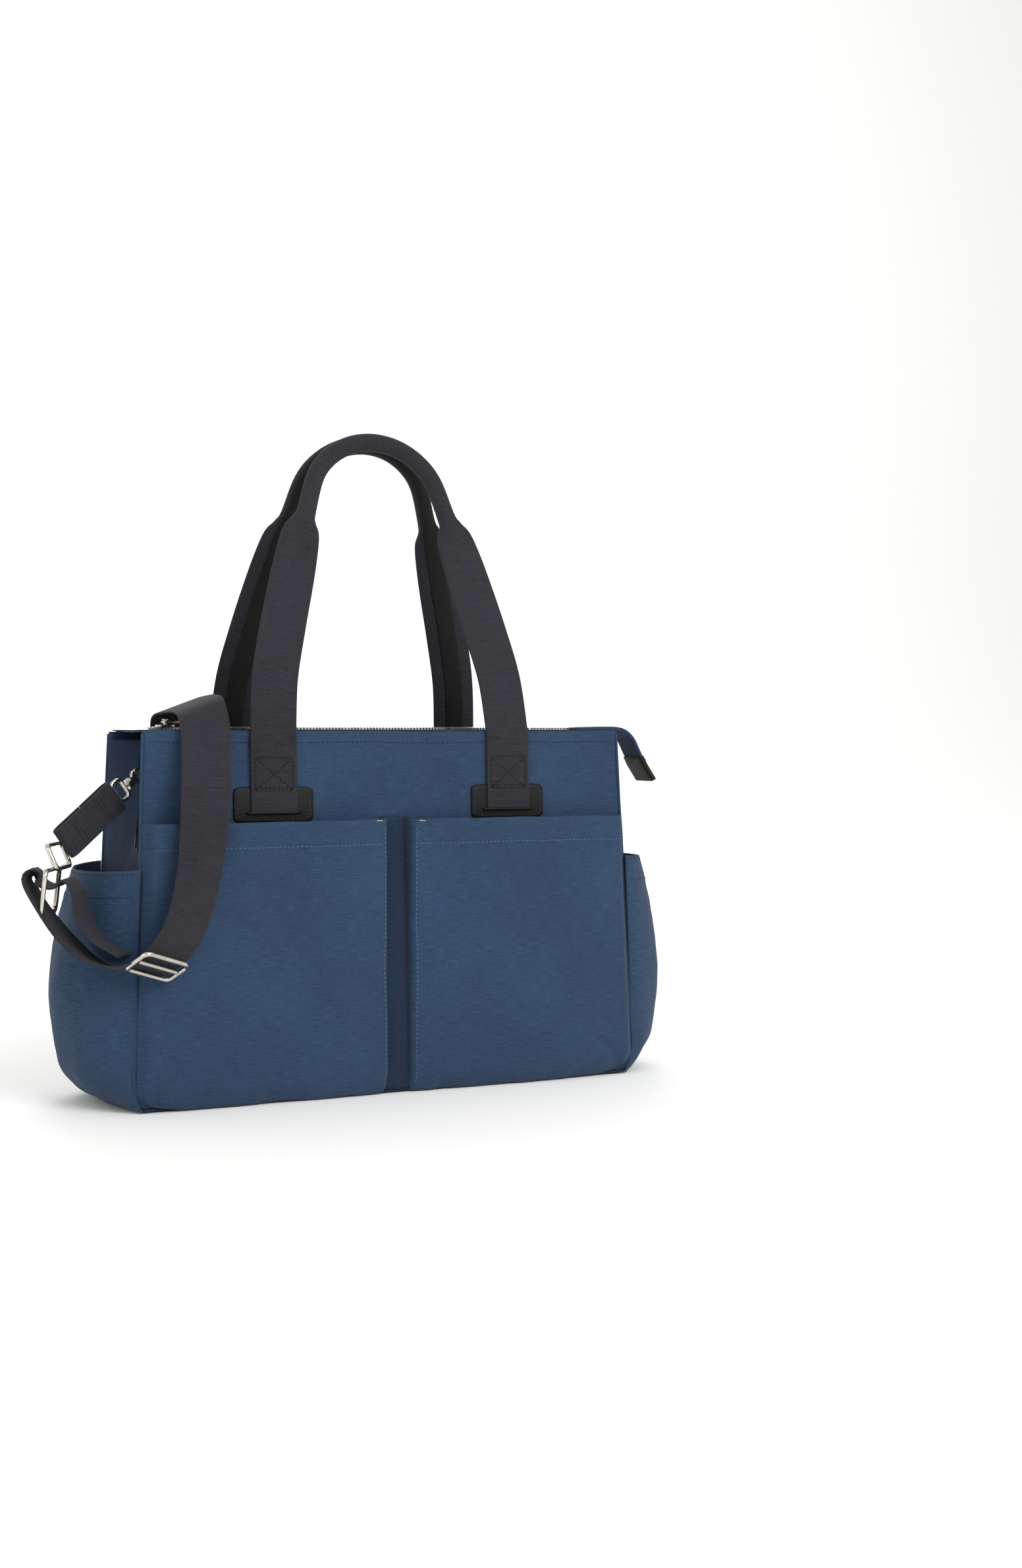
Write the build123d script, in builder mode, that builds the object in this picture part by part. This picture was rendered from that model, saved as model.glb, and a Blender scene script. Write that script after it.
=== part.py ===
"""Canvas diaper tote with two webbing handles, a zipped top, pockets and a clip-on shoulder strap.

The origin is the centre of the base. +Z is up, +X is to the right seen from the front, and the
front pockets face -Y. Lengths are in millimetres.
"""
from build123d import *
import os

os.makedirs("parts", exist_ok=True)

# Driving dimensions of the bag
BASE_WIDTH = 435.0
TOP_WIDTH = 412.0
BAG_HEIGHT = 293.0
FRONT_BASE_Y = -62.0
FRONT_TOP_Y = -52.0
BACK_BASE_Y = 66.0
BACK_TOP_Y = 52.0
CANVAS = 2.0
LINING = 1.0
LINING_GAP = 0.3
SEAM_GAP = 0.15
FACE_GAP = 0.1
END_GAP = 0.3

# Pockets
POCKET_FACE_Y = -70.0
POCKET_HEIGHT = 222.0
PLEAT_WIDTH = 24.0
SIDE_POCKET_HALF_DEPTH = 61.0
SIDE_POCKET_MIDDLE_Y = 2.0
# Height and bulge of the side pockets, from the base to the mouth
SIDE_POCKET_PROFILE = [
    (0.2, 7.0),
    (12.0, 27.0),
    (36.0, 44.0),
    (86.0, 53.0),
    (140.0, 47.0),
    (186.0, 34.0),
]

# Gussets, which fold inwards above the side pockets
GUSSET_FOLD_START = 186.0
GUSSET_TOP = 286.0
GUSSET_FOLD_DEPTH = 45.0
FOLD_AT_START = 1.5

# Handles
WEBBING_WIDTH = 38.0
WEBBING = 1.8
HANDLE_SPACING = 204.0
HANDLE_PIVOT_Z = 275.4
HANDLE_LEAN_Z = 298.0
HANDLE_TOP_Z = 537.0
HANDLE_TOP_Y = 8.0
GRIP_RADIUS = 6.0
PATCH_WIDTH = 66.0
PATCH_LOW_Z = 221.0
PATCH_HIGH_Z = 249.0
PATCH = 1.6
PATCH_CORNER = 3.0
SLOT_ABOVE_PATCH_EDGE = 7.0
SLOT_HEIGHT = 2.4
SLOT_EXTRA = 3.0
ANCHOR_ABOVE_PATCH_EDGE = 8.5

# Zipped top
FLAP_HALF_LENGTH = 150.0
ZIP_END_X = 192.0
HINGE_Y = 46.0
CLOSURE_Z = 293.2
TEETH_INNER_Y = 0.8
TEETH_OUTER_Y = 3.0
SLIDER_X = -174.0
SLIDER_LENGTH = 14.0


def half_width(z):
    """Half of the bag's width at height z."""
    return (BASE_WIDTH + (TOP_WIDTH - BASE_WIDTH) * z / BAG_HEIGHT) / 2


def front_y(z):
    """The front panel's outer face at height z."""
    return FRONT_BASE_Y + (FRONT_TOP_Y - FRONT_BASE_Y) * z / BAG_HEIGHT


def back_y(z):
    """The back panel's outer face at height z."""
    return BACK_BASE_Y + (BACK_TOP_Y - BACK_BASE_Y) * z / BAG_HEIGHT


FRONT_PLANE = Plane(
    origin=(0, FRONT_BASE_Y, 0),
    x_dir=(1, 0, 0),
    z_dir=(0, -BAG_HEIGHT, FRONT_TOP_Y - FRONT_BASE_Y),
)
BACK_PLANE = Plane(
    origin=(0, BACK_BASE_Y, 0),
    x_dir=(-1, 0, 0),
    z_dir=(0, BAG_HEIGHT, BACK_BASE_Y - BACK_TOP_Y),
)


def save(builder, label):
    """Label a finished piece and write it."""
    builder.part.label = label
    export_step(builder.part, f"parts/{label}.step")


def leaning_panel(plane, depth, thick, low, high, inset):
    """A flat panel parallel to a wall plane, depth behind it, narrowed by inset at each side."""
    with BuildPart() as panel:
        with BuildSketch(plane.offset(-depth)):
            with BuildLine():
                Polyline(
                    (inset - half_width(low), low),
                    (half_width(low) - inset, low),
                    (half_width(high) - inset, high),
                    (inset - half_width(high), high),
                    close=True,
                )
            make_face()
        extrude(amount=-thick)
    return panel


def fold_depth(z):
    """How far the middle of a gusset folds inwards at height z."""
    share = (z - GUSSET_FOLD_START) / (GUSSET_TOP - GUSSET_FOLD_START)
    return FOLD_AT_START + (GUSSET_FOLD_DEPTH - FOLD_AT_START) * max(0.0, share)


def folded_gusset(side, inset, edge_inset, thick, low, high):
    """An end wall whose middle folds inwards above the side pocket."""
    with BuildPart() as gusset:
        for bottom, top in ((low, GUSSET_FOLD_START), (GUSSET_FOLD_START, high)):
            for z in (bottom, top):
                edge = half_width(z) - edge_inset
                fold = fold_depth(z)
                y_front = front_y(z) + CANVAS + inset + SEAM_GAP
                y_back = back_y(z) - CANVAS - inset - SEAM_GAP
                middle = (y_front + y_back) / 2
                with BuildSketch(Plane.XY.offset(z)):
                    with BuildLine():
                        Polyline(
                            (side * edge, y_front),
                            (side * (edge - fold), middle),
                            (side * edge, y_back),
                            (side * (edge - thick), y_back),
                            (side * (edge - fold - thick), middle),
                            (side * (edge - thick), y_front),
                            close=True,
                        )
                    make_face()
            loft(ruled=True)
    return gusset


# Outer shell
PANEL_LOW = CANVAS + 0.12
save(leaning_panel(FRONT_PLANE, 0, CANVAS, PANEL_LOW, BAG_HEIGHT, 0), "front_panel")
save(leaning_panel(BACK_PLANE, 0, CANVAS, PANEL_LOW, BAG_HEIGHT, 0), "back_panel")
save(folded_gusset(-1, 0, 0, CANVAS, CANVAS, GUSSET_TOP), "left_gusset")
save(folded_gusset(1, 0, 0, CANVAS, CANVAS, GUSSET_TOP), "right_gusset")

with BuildPart() as base_panel:
    with BuildSketch(Plane.XY):
        with BuildLine():
            Polyline(
                (-BASE_WIDTH / 2, POCKET_FACE_Y),
                (BASE_WIDTH / 2, POCKET_FACE_Y),
                (BASE_WIDTH / 2, BACK_BASE_Y),
                (-BASE_WIDTH / 2, BACK_BASE_Y),
                close=True,
            )
        make_face()
    extrude(amount=CANVAS)
save(base_panel, "base_panel")

# A stiff board lies on the base, under the lining
BOARD = 2.5
BOARD_INSET = 6.0
BOARD_CORNER = 8.0
with BuildPart() as base_board:
    with BuildSketch(Plane.XY.offset(CANVAS)):
        with Locations((0, (FRONT_BASE_Y + BACK_BASE_Y) / 2)):
            RectangleRounded(
                BASE_WIDTH - 2 * BOARD_INSET, BACK_BASE_Y - FRONT_BASE_Y - 2 * BOARD_INSET, BOARD_CORNER
            )
    extrude(amount=BOARD)
save(base_board, "base_board")

# Lining, one layer inside the canvas
LINING_LOW = CANVAS + BOARD + LINING_GAP
LINING_TOP = 283.0
LINING_DEPTH = CANVAS + LINING_GAP
LINING_INSET = 6.0
END_LINING_INSET = 2.6
END_LINING_EDGE = 5.4
FLOOR_LINING_END = 9.0
FLOOR_LINING_SIDE = 4.5
save(leaning_panel(FRONT_PLANE, LINING_DEPTH, LINING, LINING_LOW, LINING_TOP, LINING_INSET), "lining_front")
save(leaning_panel(BACK_PLANE, LINING_DEPTH, LINING, LINING_LOW, LINING_TOP, LINING_INSET), "lining_back")
for side, word in ((-1, "left"), (1, "right")):
    lining = folded_gusset(side, END_LINING_INSET, END_LINING_EDGE, LINING, LINING_LOW, LINING_TOP)
    save(lining, f"lining_{word}")

with BuildPart() as lining_base:
    with BuildSketch(Plane.XY.offset(LINING_LOW)):
        with Locations((0, (FRONT_BASE_Y + BACK_BASE_Y) / 2)):
            Rectangle(BASE_WIDTH - 2 * FLOOR_LINING_END, BACK_BASE_Y - FRONT_BASE_Y - 2 * FLOOR_LINING_SIDE)
    extrude(amount=LINING)
save(lining_base, "lining_base")

# A slip pocket on the back lining
SLIP_WIDTH = 300.0
SLIP_LOW = 90.0
SLIP_HIGH = 220.0
SLIP_Y = 45.0
SLIP_REACH = 20.0
lining_face = BACK_PLANE.offset(-(LINING_DEPTH + LINING + FACE_GAP))
with BuildPart() as inner_slip_pocket:
    with BuildSketch(Plane.XZ.offset(-SLIP_Y)):
        with Locations((0, (SLIP_LOW + SLIP_HIGH) / 2)):
            Rectangle(SLIP_WIDTH, SLIP_HIGH - SLIP_LOW)
    extrude(amount=-SLIP_REACH)
    with BuildSketch(Plane.XZ.offset(-SLIP_Y - LINING)):
        with Locations((0, (SLIP_LOW + SLIP_HIGH) / 2 + 2 * LINING)):
            Rectangle(SLIP_WIDTH - 2 * LINING, SLIP_HIGH - SLIP_LOW)
    extrude(amount=-SLIP_REACH, mode=Mode.SUBTRACT)
    split(bisect_by=lining_face, keep=Keep.BOTTOM)
save(inner_slip_pocket, "inner_slip_pocket")


POCKET_REACH = 20.0
CUT_ABOVE_MOUTH = 10.0


def front_pocket(side):
    """One of the two patch pockets, open at the top and closed by the panel behind it."""

    def outline(inset, low, high):
        return [
            (side * (PLEAT_WIDTH / 2 + inset), low),
            (side * (half_width(low) - inset), low),
            (side * (half_width(high) - inset), high),
            (side * (PLEAT_WIDTH / 2 + inset), high),
        ]

    with BuildPart() as pocket:
        with BuildSketch(Plane.XZ.offset(-POCKET_FACE_Y)):
            with BuildLine():
                Polyline(*outline(0, CANVAS, POCKET_HEIGHT), close=True)
            make_face()
        extrude(amount=-POCKET_REACH)
        with BuildSketch(Plane.XZ.offset(-POCKET_FACE_Y - CANVAS)):
            with BuildLine():
                Polyline(*outline(CANVAS, 0, POCKET_HEIGHT + CUT_ABOVE_MOUTH), close=True)
            make_face()
        extrude(amount=-POCKET_REACH, mode=Mode.SUBTRACT)
        split(bisect_by=FRONT_PLANE.offset(FACE_GAP), keep=Keep.TOP)
    return pocket


save(front_pocket(-1), "front_pocket_left")
save(front_pocket(1), "front_pocket_right")

# The strip at the bottom of the inverted pleat between the two front pockets
PLEAT_OFF_WALL = 0.2
PLEAT_SIDE_GAP = 0.3
PLEAT_RISE = 4.0
with BuildPart() as front_pleat_strip:
    with BuildSketch(FRONT_PLANE.offset(PLEAT_OFF_WALL)):
        with Locations((0, (POCKET_HEIGHT + CANVAS + PLEAT_RISE) / 2)):
            Rectangle(PLEAT_WIDTH - 2 * PLEAT_SIDE_GAP, POCKET_HEIGHT - CANVAS + PLEAT_RISE)
    extrude(amount=CANVAS)
save(front_pleat_strip, "front_pleat_strip")


def side_pocket(side):
    """A side pocket that bulges away from the gusset, open at the top."""
    with BuildPart() as pocket:
        for wall, mode in ((0.0, Mode.ADD), (CANVAS, Mode.SUBTRACT)):
            for z, bulge in SIDE_POCKET_PROFILE:
                seam = half_width(z) + SEAM_GAP
                inner = seam - 0.01 - 1.5 * wall
                half = SIDE_POCKET_HALF_DEPTH - wall
                lift = wall if z < 1 or z > 180 else 0.0
                with BuildSketch(Plane.XY.offset(z + lift)):
                    with BuildLine():
                        ThreePointArc(
                            (side * seam, -half),
                            (side * (seam + bulge - wall), SIDE_POCKET_MIDDLE_Y),
                            (side * seam, half),
                        )
                        Polyline(
                            (side * seam, half),
                            (side * inner, half),
                            (side * inner, -half),
                            (side * seam, -half),
                        )
                    make_face()
            loft(ruled=True, mode=mode)
    return pocket


save(side_pocket(-1), "side_pocket_left")
save(side_pocket(1), "side_pocket_right")


# Handles: each is one length of webbing, rolled round a leather core where the hand holds it
def wall_plane(face):
    """The outer face of the front wall (-1) or the back wall (1), with x to the viewer's right."""
    return FRONT_PLANE if face < 0 else BACK_PLANE


def handle_patches(face, side):
    """A leather patch with a slot near its lower edge, which the webbing's end tucks into."""
    with BuildPart() as patch:
        with BuildSketch(wall_plane(face).offset(FACE_GAP)):
            with Locations((side * HANDLE_SPACING / 2, (PATCH_LOW_Z + PATCH_HIGH_Z) / 2)):
                RectangleRounded(PATCH_WIDTH, PATCH_HIGH_Z - PATCH_LOW_Z, PATCH_CORNER)
            with Locations((side * HANDLE_SPACING / 2, PATCH_LOW_Z + SLOT_ABOVE_PATCH_EDGE)):
                Rectangle(WEBBING_WIDTH + SLOT_EXTRA, SLOT_HEIGHT, mode=Mode.SUBTRACT)
        extrude(amount=PATCH)
    return patch


def handle_anchors(face):
    """The two sewn-down ends of a handle's webbing."""
    with BuildPart() as anchors:
        with BuildSketch(wall_plane(face).offset(PATCH + END_GAP)):
            for side in (-1, 1):
                low = PATCH_LOW_Z + ANCHOR_ABOVE_PATCH_EDGE
                high = HANDLE_PIVOT_Z - END_GAP
                with Locations((side * HANDLE_SPACING / 2, (low + high) / 2)):
                    Rectangle(WEBBING_WIDTH, high - low)
        extrude(amount=WEBBING)
    return anchors


def handle_pivot_y(face):
    """The middle of the webbing at the top of its sewn end."""
    wall = front_y(HANDLE_PIVOT_Z) if face < 0 else back_y(HANDLE_PIVOT_Z)
    return wall + face * (PATCH + END_GAP + WEBBING / 2)


def lean_plane(face):
    """The plane that the free part of a handle leans in, above the bag's top edge."""
    low_y = handle_pivot_y(face)
    rise = HANDLE_TOP_Z - HANDLE_LEAN_Z
    lean = face * HANDLE_TOP_Y - low_y
    return Plane(
        origin=(0, low_y, HANDLE_LEAN_Z),
        x_dir=(-face, 0, 0),
        z_dir=(0, face * rise, -face * lean),
    )


def handle_length(face):
    """The length of a handle along its leaning plane."""
    rise = HANDLE_TOP_Z - HANDLE_LEAN_Z
    lean = face * HANDLE_TOP_Y - handle_pivot_y(face)
    return (rise**2 + lean**2) ** 0.5


GRIP_END_X = 58.0
GRIP_END_BELOW_TOP = 58.0
CORE = 4.4
CORE_SEAT = 1.2
LEG_OVERLAP = 0.6


def grip_arc(face, inset):
    """The grip's centre line, moved towards the palm by inset."""
    top = handle_length(face) - GRIP_RADIUS
    end = top + GRIP_RADIUS - GRIP_END_BELOW_TOP
    sag = top - end
    radius = (GRIP_END_X**2 + sag**2) / (2 * sag)
    with BuildLine(lean_plane(face)) as path:
        ThreePointArc(
            (GRIP_END_X - inset * GRIP_END_X / radius, end + inset * (radius - sag) / radius),
            (0, top - inset),
            (inset * GRIP_END_X / radius - GRIP_END_X, end + inset * (radius - sag) / radius),
        )
    return path


def handle_webbing(face):
    """The free webbing: two flat legs that roll together into the grip, with a groove for the core."""
    grip_end = handle_length(face) - GRIP_END_BELOW_TOP
    with BuildPart() as webbing:
        path = grip_arc(face, 0)
        with BuildSketch(Plane(origin=path.line @ 0, z_dir=path.line % 0)):
            Circle(GRIP_RADIUS)
        sweep(path=path.line)
        for side in (-1, 1):
            with BuildSketch(lean_plane(face).offset(-WEBBING / 2)):
                with BuildLine():
                    Polyline(
                        (side * 83, -0.5),
                        (side * 121, -0.5),
                        (side * 117, 38),
                        (side * 96, 123),
                        (side * 84, 160),
                        (side * 63.5, grip_end + 4),
                        (side * 52.5, grip_end - 2),
                        (side * 57, 148),
                        (side * 60, 118),
                        (side * 79, 35),
                        close=True,
                    )
                make_face()
            extrude(amount=WEBBING)
            with BuildSketch(wall_plane(face).offset(PATCH + END_GAP)):
                low = HANDLE_PIVOT_Z + END_GAP
                high = HANDLE_LEAN_Z + LEG_OVERLAP
                with Locations((side * HANDLE_SPACING / 2, (low + high) / 2)):
                    Rectangle(WEBBING_WIDTH, high - low)
            extrude(amount=WEBBING)
        groove = grip_arc(face, GRIP_RADIUS - CORE_SEAT)
        with BuildSketch(Plane(origin=groove.line @ 0, z_dir=groove.line % 0)):
            Circle(CORE / 2 + FACE_GAP)
        sweep(path=groove.line, mode=Mode.SUBTRACT)
    return webbing


def grip_core(face):
    """The leather core, a slim roll seated in the palm side of the grip."""
    with BuildPart() as core:
        path = grip_arc(face, GRIP_RADIUS - CORE_SEAT)
        with BuildSketch(Plane(origin=path.line @ 0, z_dir=path.line % 0)):
            Circle(CORE / 2)
        sweep(path=path.line)
    return core


for face, name in ((-1, "front"), (1, "back")):
    save(handle_patches(face, face), f"{name}_patch_left")
    save(handle_patches(face, -face), f"{name}_patch_right")
    save(handle_anchors(face), f"{name}_handle_anchors")
    save(handle_webbing(face), f"{name}_handle_webbing")
    save(grip_core(face), f"{name}_grip_core")


# Zipped top: a facing along each wall, a fixed zip end at each gusset and a flap on each side
def slab(low, high):
    """A plain block between two corners."""
    with BuildPart() as block:
        with BuildSketch(Plane.XY.offset(low[2])):
            with Locations(((low[0] + high[0]) / 2, (low[1] + high[1]) / 2)):
                Rectangle(high[0] - low[0], high[1] - low[1])
        extrude(amount=high[2] - low[2])
    return block


CLOSURE_TOP = CLOSURE_Z + CANVAS
FACING_HALF = 200.0
FACING_TO_HINGE = 1.4
TEETH_PROUD = 0.8
for face, name in ((-1, "front"), (1, "back")):
    wall = FRONT_TOP_Y if face < 0 else BACK_TOP_Y
    edges = sorted((wall, face * (HINGE_Y + FACING_TO_HINGE)))
    facing_low = (-FACING_HALF, edges[0], CLOSURE_Z)
    facing_high = (FACING_HALF, edges[1], CLOSURE_TOP)
    save(slab(facing_low, facing_high), f"{name}_top_facing")
for face, name in ((-1, "front"), (1, "back")):
    edges = sorted((face * HINGE_Y, face * TEETH_OUTER_Y))
    strip_low = (-FLAP_HALF_LENGTH, edges[0], CLOSURE_Z)
    strip_high = (FLAP_HALF_LENGTH, edges[1], CLOSURE_TOP)
    save(slab(strip_low, strip_high), f"{name}_closure_strip")
    edges = sorted((face * TEETH_OUTER_Y, face * TEETH_INNER_Y))
    row_low = (-FLAP_HALF_LENGTH, edges[0], CLOSURE_Z - TEETH_PROUD)
    row_high = (FLAP_HALF_LENGTH, edges[1], CLOSURE_TOP + TEETH_PROUD)
    save(slab(row_low, row_high), f"{name}_zip_teeth")


ZIP_END_GAP = 0.6
TEETH_SHORT_OF_END = 3.0
SLOT_SHORT_OF_END = 6.0
SLOT_PAST_START = 5.0
SLOT_CUT_UNDER = 2.0


def zip_end(side):
    """The fixed end of the closure, with a slot between its two rows of teeth."""
    inner = FLAP_HALF_LENGTH + ZIP_END_GAP
    teeth_end = ZIP_END_X - TEETH_SHORT_OF_END
    slot_start = inner - SLOT_PAST_START
    slot_end = ZIP_END_X - SLOT_SHORT_OF_END
    with BuildPart() as end:
        with BuildSketch(Plane.XY.offset(CLOSURE_Z)):
            with Locations((side * (inner + ZIP_END_X) / 2, 0)):
                Rectangle(ZIP_END_X - inner, 2 * HINGE_Y)
        extrude(amount=CANVAS)
        with BuildSketch(Plane.XY.offset(CLOSURE_Z - TEETH_PROUD)):
            with Locations((side * (inner + teeth_end) / 2, 0)):
                Rectangle(teeth_end - inner, 2 * TEETH_OUTER_Y)
        extrude(amount=CANVAS + 2 * TEETH_PROUD)
        with BuildSketch(Plane.XY.offset(CLOSURE_Z - SLOT_CUT_UNDER)):
            with Locations((side * (slot_start + slot_end) / 2, 0)):
                Rectangle(slot_end - slot_start, 2 * TEETH_INNER_Y)
        extrude(amount=CANVAS + 2 * SLOT_CUT_UNDER, mode=Mode.SUBTRACT)
    return end


save(zip_end(-1), "zip_end_left")
save(zip_end(1), "zip_end_right")

TAIL_BEND_X = 236.0
TAIL_HALF = 15.0
with BuildPart() as zip_tail:
    with BuildSketch(Plane.XZ):
        with BuildLine():
            Polyline(
                (ZIP_END_X + 0.2, CLOSURE_Z),
                (TAIL_BEND_X - 2, CLOSURE_Z),
                (252, 268),
                (254.4, 269),
                (TAIL_BEND_X, CLOSURE_TOP),
                (ZIP_END_X + 0.2, CLOSURE_TOP),
                close=True,
            )
        make_face()
    extrude(amount=TAIL_HALF, both=True)
save(zip_tail, "zip_tail")

with BuildPart() as zip_tail_tab:
    with BuildSketch(Plane.XZ):
        with BuildLine():
            Polyline((251.4, 267.6), (255.2, 269.2), (267, 251), (263, 249), close=True)
        make_face()
    extrude(amount=TAIL_HALF + 1, both=True)
save(zip_tail_tab, "zip_tail_tab")

# The zip slider: two plates joined by a thin post that runs between the rows of teeth
PLATE_WIDTH = 12.0
PLATE_CORNER = 3.0
PLATE = 1.5
UPPER_PLATE_GAP = 1.2
LOWER_PLATE_GAP = 1.2
POST_LENGTH = 5.0
POST_THICK = 1.2
POST_BEHIND = 4.0
POST_INTO_PLATE = 2.0
PIN_RADIUS = 1.3
PIN_HEIGHT = 4.4
PIN_HEAD_RADIUS = 2.4
PIN_HEAD = 0.8
with BuildPart() as zip_slider:
    for low in (CLOSURE_TOP + UPPER_PLATE_GAP, CLOSURE_Z - LOWER_PLATE_GAP - PLATE):
        with BuildSketch(Plane.XY.offset(low)):
            with Locations((SLIDER_X, 0)):
                RectangleRounded(SLIDER_LENGTH, PLATE_WIDTH, PLATE_CORNER)
        extrude(amount=PLATE)
    with BuildSketch(Plane.XY.offset(CLOSURE_Z - POST_INTO_PLATE)):
        with Locations((SLIDER_X - POST_BEHIND, 0)):
            Rectangle(POST_LENGTH, POST_THICK)
    extrude(amount=CANVAS + 2 * POST_INTO_PLATE)
    pin_low = CLOSURE_TOP + UPPER_PLATE_GAP + PLATE - FACE_GAP
    with BuildSketch(Plane.XY.offset(pin_low)):
        with Locations((SLIDER_X, 0)):
            Circle(PIN_RADIUS)
    extrude(amount=PIN_HEIGHT)
    with BuildSketch(Plane.XY.offset(pin_low + PIN_HEIGHT - 2 * END_GAP)):
        with Locations((SLIDER_X, 0)):
            Circle(PIN_HEAD_RADIUS)
    extrude(amount=PIN_HEAD)
save(zip_slider, "zip_slider")

PULL_Z = CLOSURE_TOP + 4.2
LINK_LENGTH = 17.0
LINK_WIDTH = 6.0
LINK = 1.4
LINK_HOLE_RADIUS = 1.38
LINK_SLOT_LENGTH = 7.0
LINK_SLOT_WIDTH = 2.6
with BuildPart() as zip_pull_link:
    with BuildSketch(Plane.XY.offset(PULL_Z)):
        with Locations((SLIDER_X + 5.5, 0)):
            SlotOverall(LINK_LENGTH, LINK_WIDTH)
        with Locations((SLIDER_X, 0)):
            Circle(LINK_HOLE_RADIUS, mode=Mode.SUBTRACT)
        with Locations((SLIDER_X + LINK_SLOT_LENGTH, 0)):
            SlotOverall(LINK_SLOT_LENGTH, LINK_SLOT_WIDTH, mode=Mode.SUBTRACT)
    extrude(amount=LINK)
save(zip_pull_link, "zip_pull_link")

PULL_TAB_START = 14.2
PULL_TAB_LENGTH = 26.0
PULL_TAB_WIDTH = 8.0
PULL_TAB = 2.4
PULL_TAB_CORNER = 3.0
with BuildPart() as zip_pull_tab:
    with BuildSketch(Plane.XY.offset(PULL_Z - (PULL_TAB - LINK) / 2)):
        with Locations((SLIDER_X + PULL_TAB_START + PULL_TAB_LENGTH / 2, 0)):
            RectangleRounded(PULL_TAB_LENGTH, PULL_TAB_WIDTH, PULL_TAB_CORNER)
    extrude(amount=PULL_TAB)
save(zip_pull_tab, "zip_pull_tab")


# Side zip on the front half of the left gusset's fold
def gusset_point(z, share, lift):
    """A point on the left gusset's front facet, share of the way to the fold, lift off its face."""
    fold = fold_depth(z)
    near = front_y(z) + CANVAS + SEAM_GAP
    middle = (near + back_y(z) - CANVAS - SEAM_GAP) / 2
    return (-half_width(z) + fold * share - lift, near + (middle - near) * share)


def facet_strip(low, high, start, end, under, over):
    """A strip that follows the facet between two heights."""
    with BuildPart() as strip:
        for z in (low, high):
            with BuildSketch(Plane.XY.offset(z)):
                with BuildLine():
                    Polyline(
                        gusset_point(z, start, under),
                        gusset_point(z, end, under),
                        gusset_point(z, end, over),
                        gusset_point(z, start, over),
                        close=True,
                    )
                make_face()
        loft(ruled=True)
    return strip


SIDE_ZIP_LOW = 200.0
SIDE_ZIP_HIGH = 278.0
save(facet_strip(SIDE_ZIP_LOW, SIDE_ZIP_HIGH, 0.08, 0.36, 0.2, 1.0), "side_zip_tape")
save(facet_strip(SIDE_ZIP_LOW + 3, SIDE_ZIP_HIGH - 3, 0.18, 0.26, 1.05, 2.6), "side_zip_coil")
# The facet twists between the zip's ends, so the slider stands clear of the coil
save(facet_strip(SIDE_ZIP_HIGH - 14, SIDE_ZIP_HIGH - 4, 0.17, 0.27, 4.1, 6.0), "side_zip_slider")


# D-rings and snap hooks. The left set is drawn; the right set is the same, turned half round.
WIRE_RADIUS = 1.75
HOOK_AXIS = Vector(-0.80, -0.23, -0.556).normalized()
HOOK_NORMAL = HOOK_AXIS.cross(Vector(0, 1, 0)).cross(HOOK_AXIS).normalized()
RING_BOW = Vector(-191.0, -14.0, 264.0)
RING_AXIS = Vector(-0.50, -0.30, -0.81).normalized()
# The ring's straight bar runs across the hook's flat side
RING_HEIGHT = 13.0
RING_HALF_WIDTH = 7.5
hook_plane = Plane(origin=RING_BOW, x_dir=HOOK_AXIS, z_dir=HOOK_NORMAL)
ring_origin = RING_BOW - RING_AXIS * RING_HEIGHT
bar_direction = (HOOK_NORMAL - RING_AXIS * HOOK_NORMAL.dot(RING_AXIS)).normalized()
ring_middle = (ring_origin + RING_BOW) * 0.5
ring_plane = Plane(origin=ring_middle, x_dir=bar_direction, z_dir=bar_direction.cross(RING_AXIS))


def save_pair(builder, name):
    """Write the left piece, and the right piece turned half a turn about the bag's middle."""
    save(builder, f"left_{name}")
    other = builder.part.rotate(Axis.Z, 180)
    other.label = f"right_{name}"
    export_step(other, f"parts/right_{name}.step")


def wire_loop(plane, corners, corner_radius, wire_radius):
    """A closed loop of round wire through rounded corners."""
    with BuildPart() as loop:
        with BuildLine(plane) as path:
            FilletPolyline(*corners, radius=corner_radius, close=True)
        with BuildSketch(Plane(origin=path.line @ 0, z_dir=path.line % 0)):
            Circle(wire_radius)
        sweep(path=path.line)
    return loop


def box_corners(low, high, half):
    """The corners of a rectangle from low to high along x and half each way along y."""
    return [(low, -half), (high, -half), (high, half), (low, half)]


RING_CORNER = 3.5
TAB_WRAP_RADIUS = 3.6
TAB_TAIL_LENGTH = 10.0
TAB_TAIL_START = 3.0
TAB_DOUBLED = 2.6
TAB_HALF_WIDTH = 4.6
ring_corners = box_corners(-RING_HALF_WIDTH, RING_HALF_WIDTH, RING_HEIGHT / 2)
d_ring = wire_loop(ring_plane, ring_corners, RING_CORNER, WIRE_RADIUS)
save_pair(d_ring, "d_ring")

tab_plane = Plane(origin=ring_origin, x_dir=RING_AXIS, z_dir=bar_direction)
with BuildPart() as ring_tab:
    with BuildSketch(tab_plane):
        Circle(TAB_WRAP_RADIUS)
        with Locations((-TAB_TAIL_START - TAB_TAIL_LENGTH / 2, 0)):
            Rectangle(TAB_TAIL_LENGTH, TAB_DOUBLED)
        Circle(WIRE_RADIUS + FACE_GAP, mode=Mode.SUBTRACT)
    extrude(amount=TAB_HALF_WIDTH, both=True)
save_pair(ring_tab, "d_ring_tab")

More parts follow.
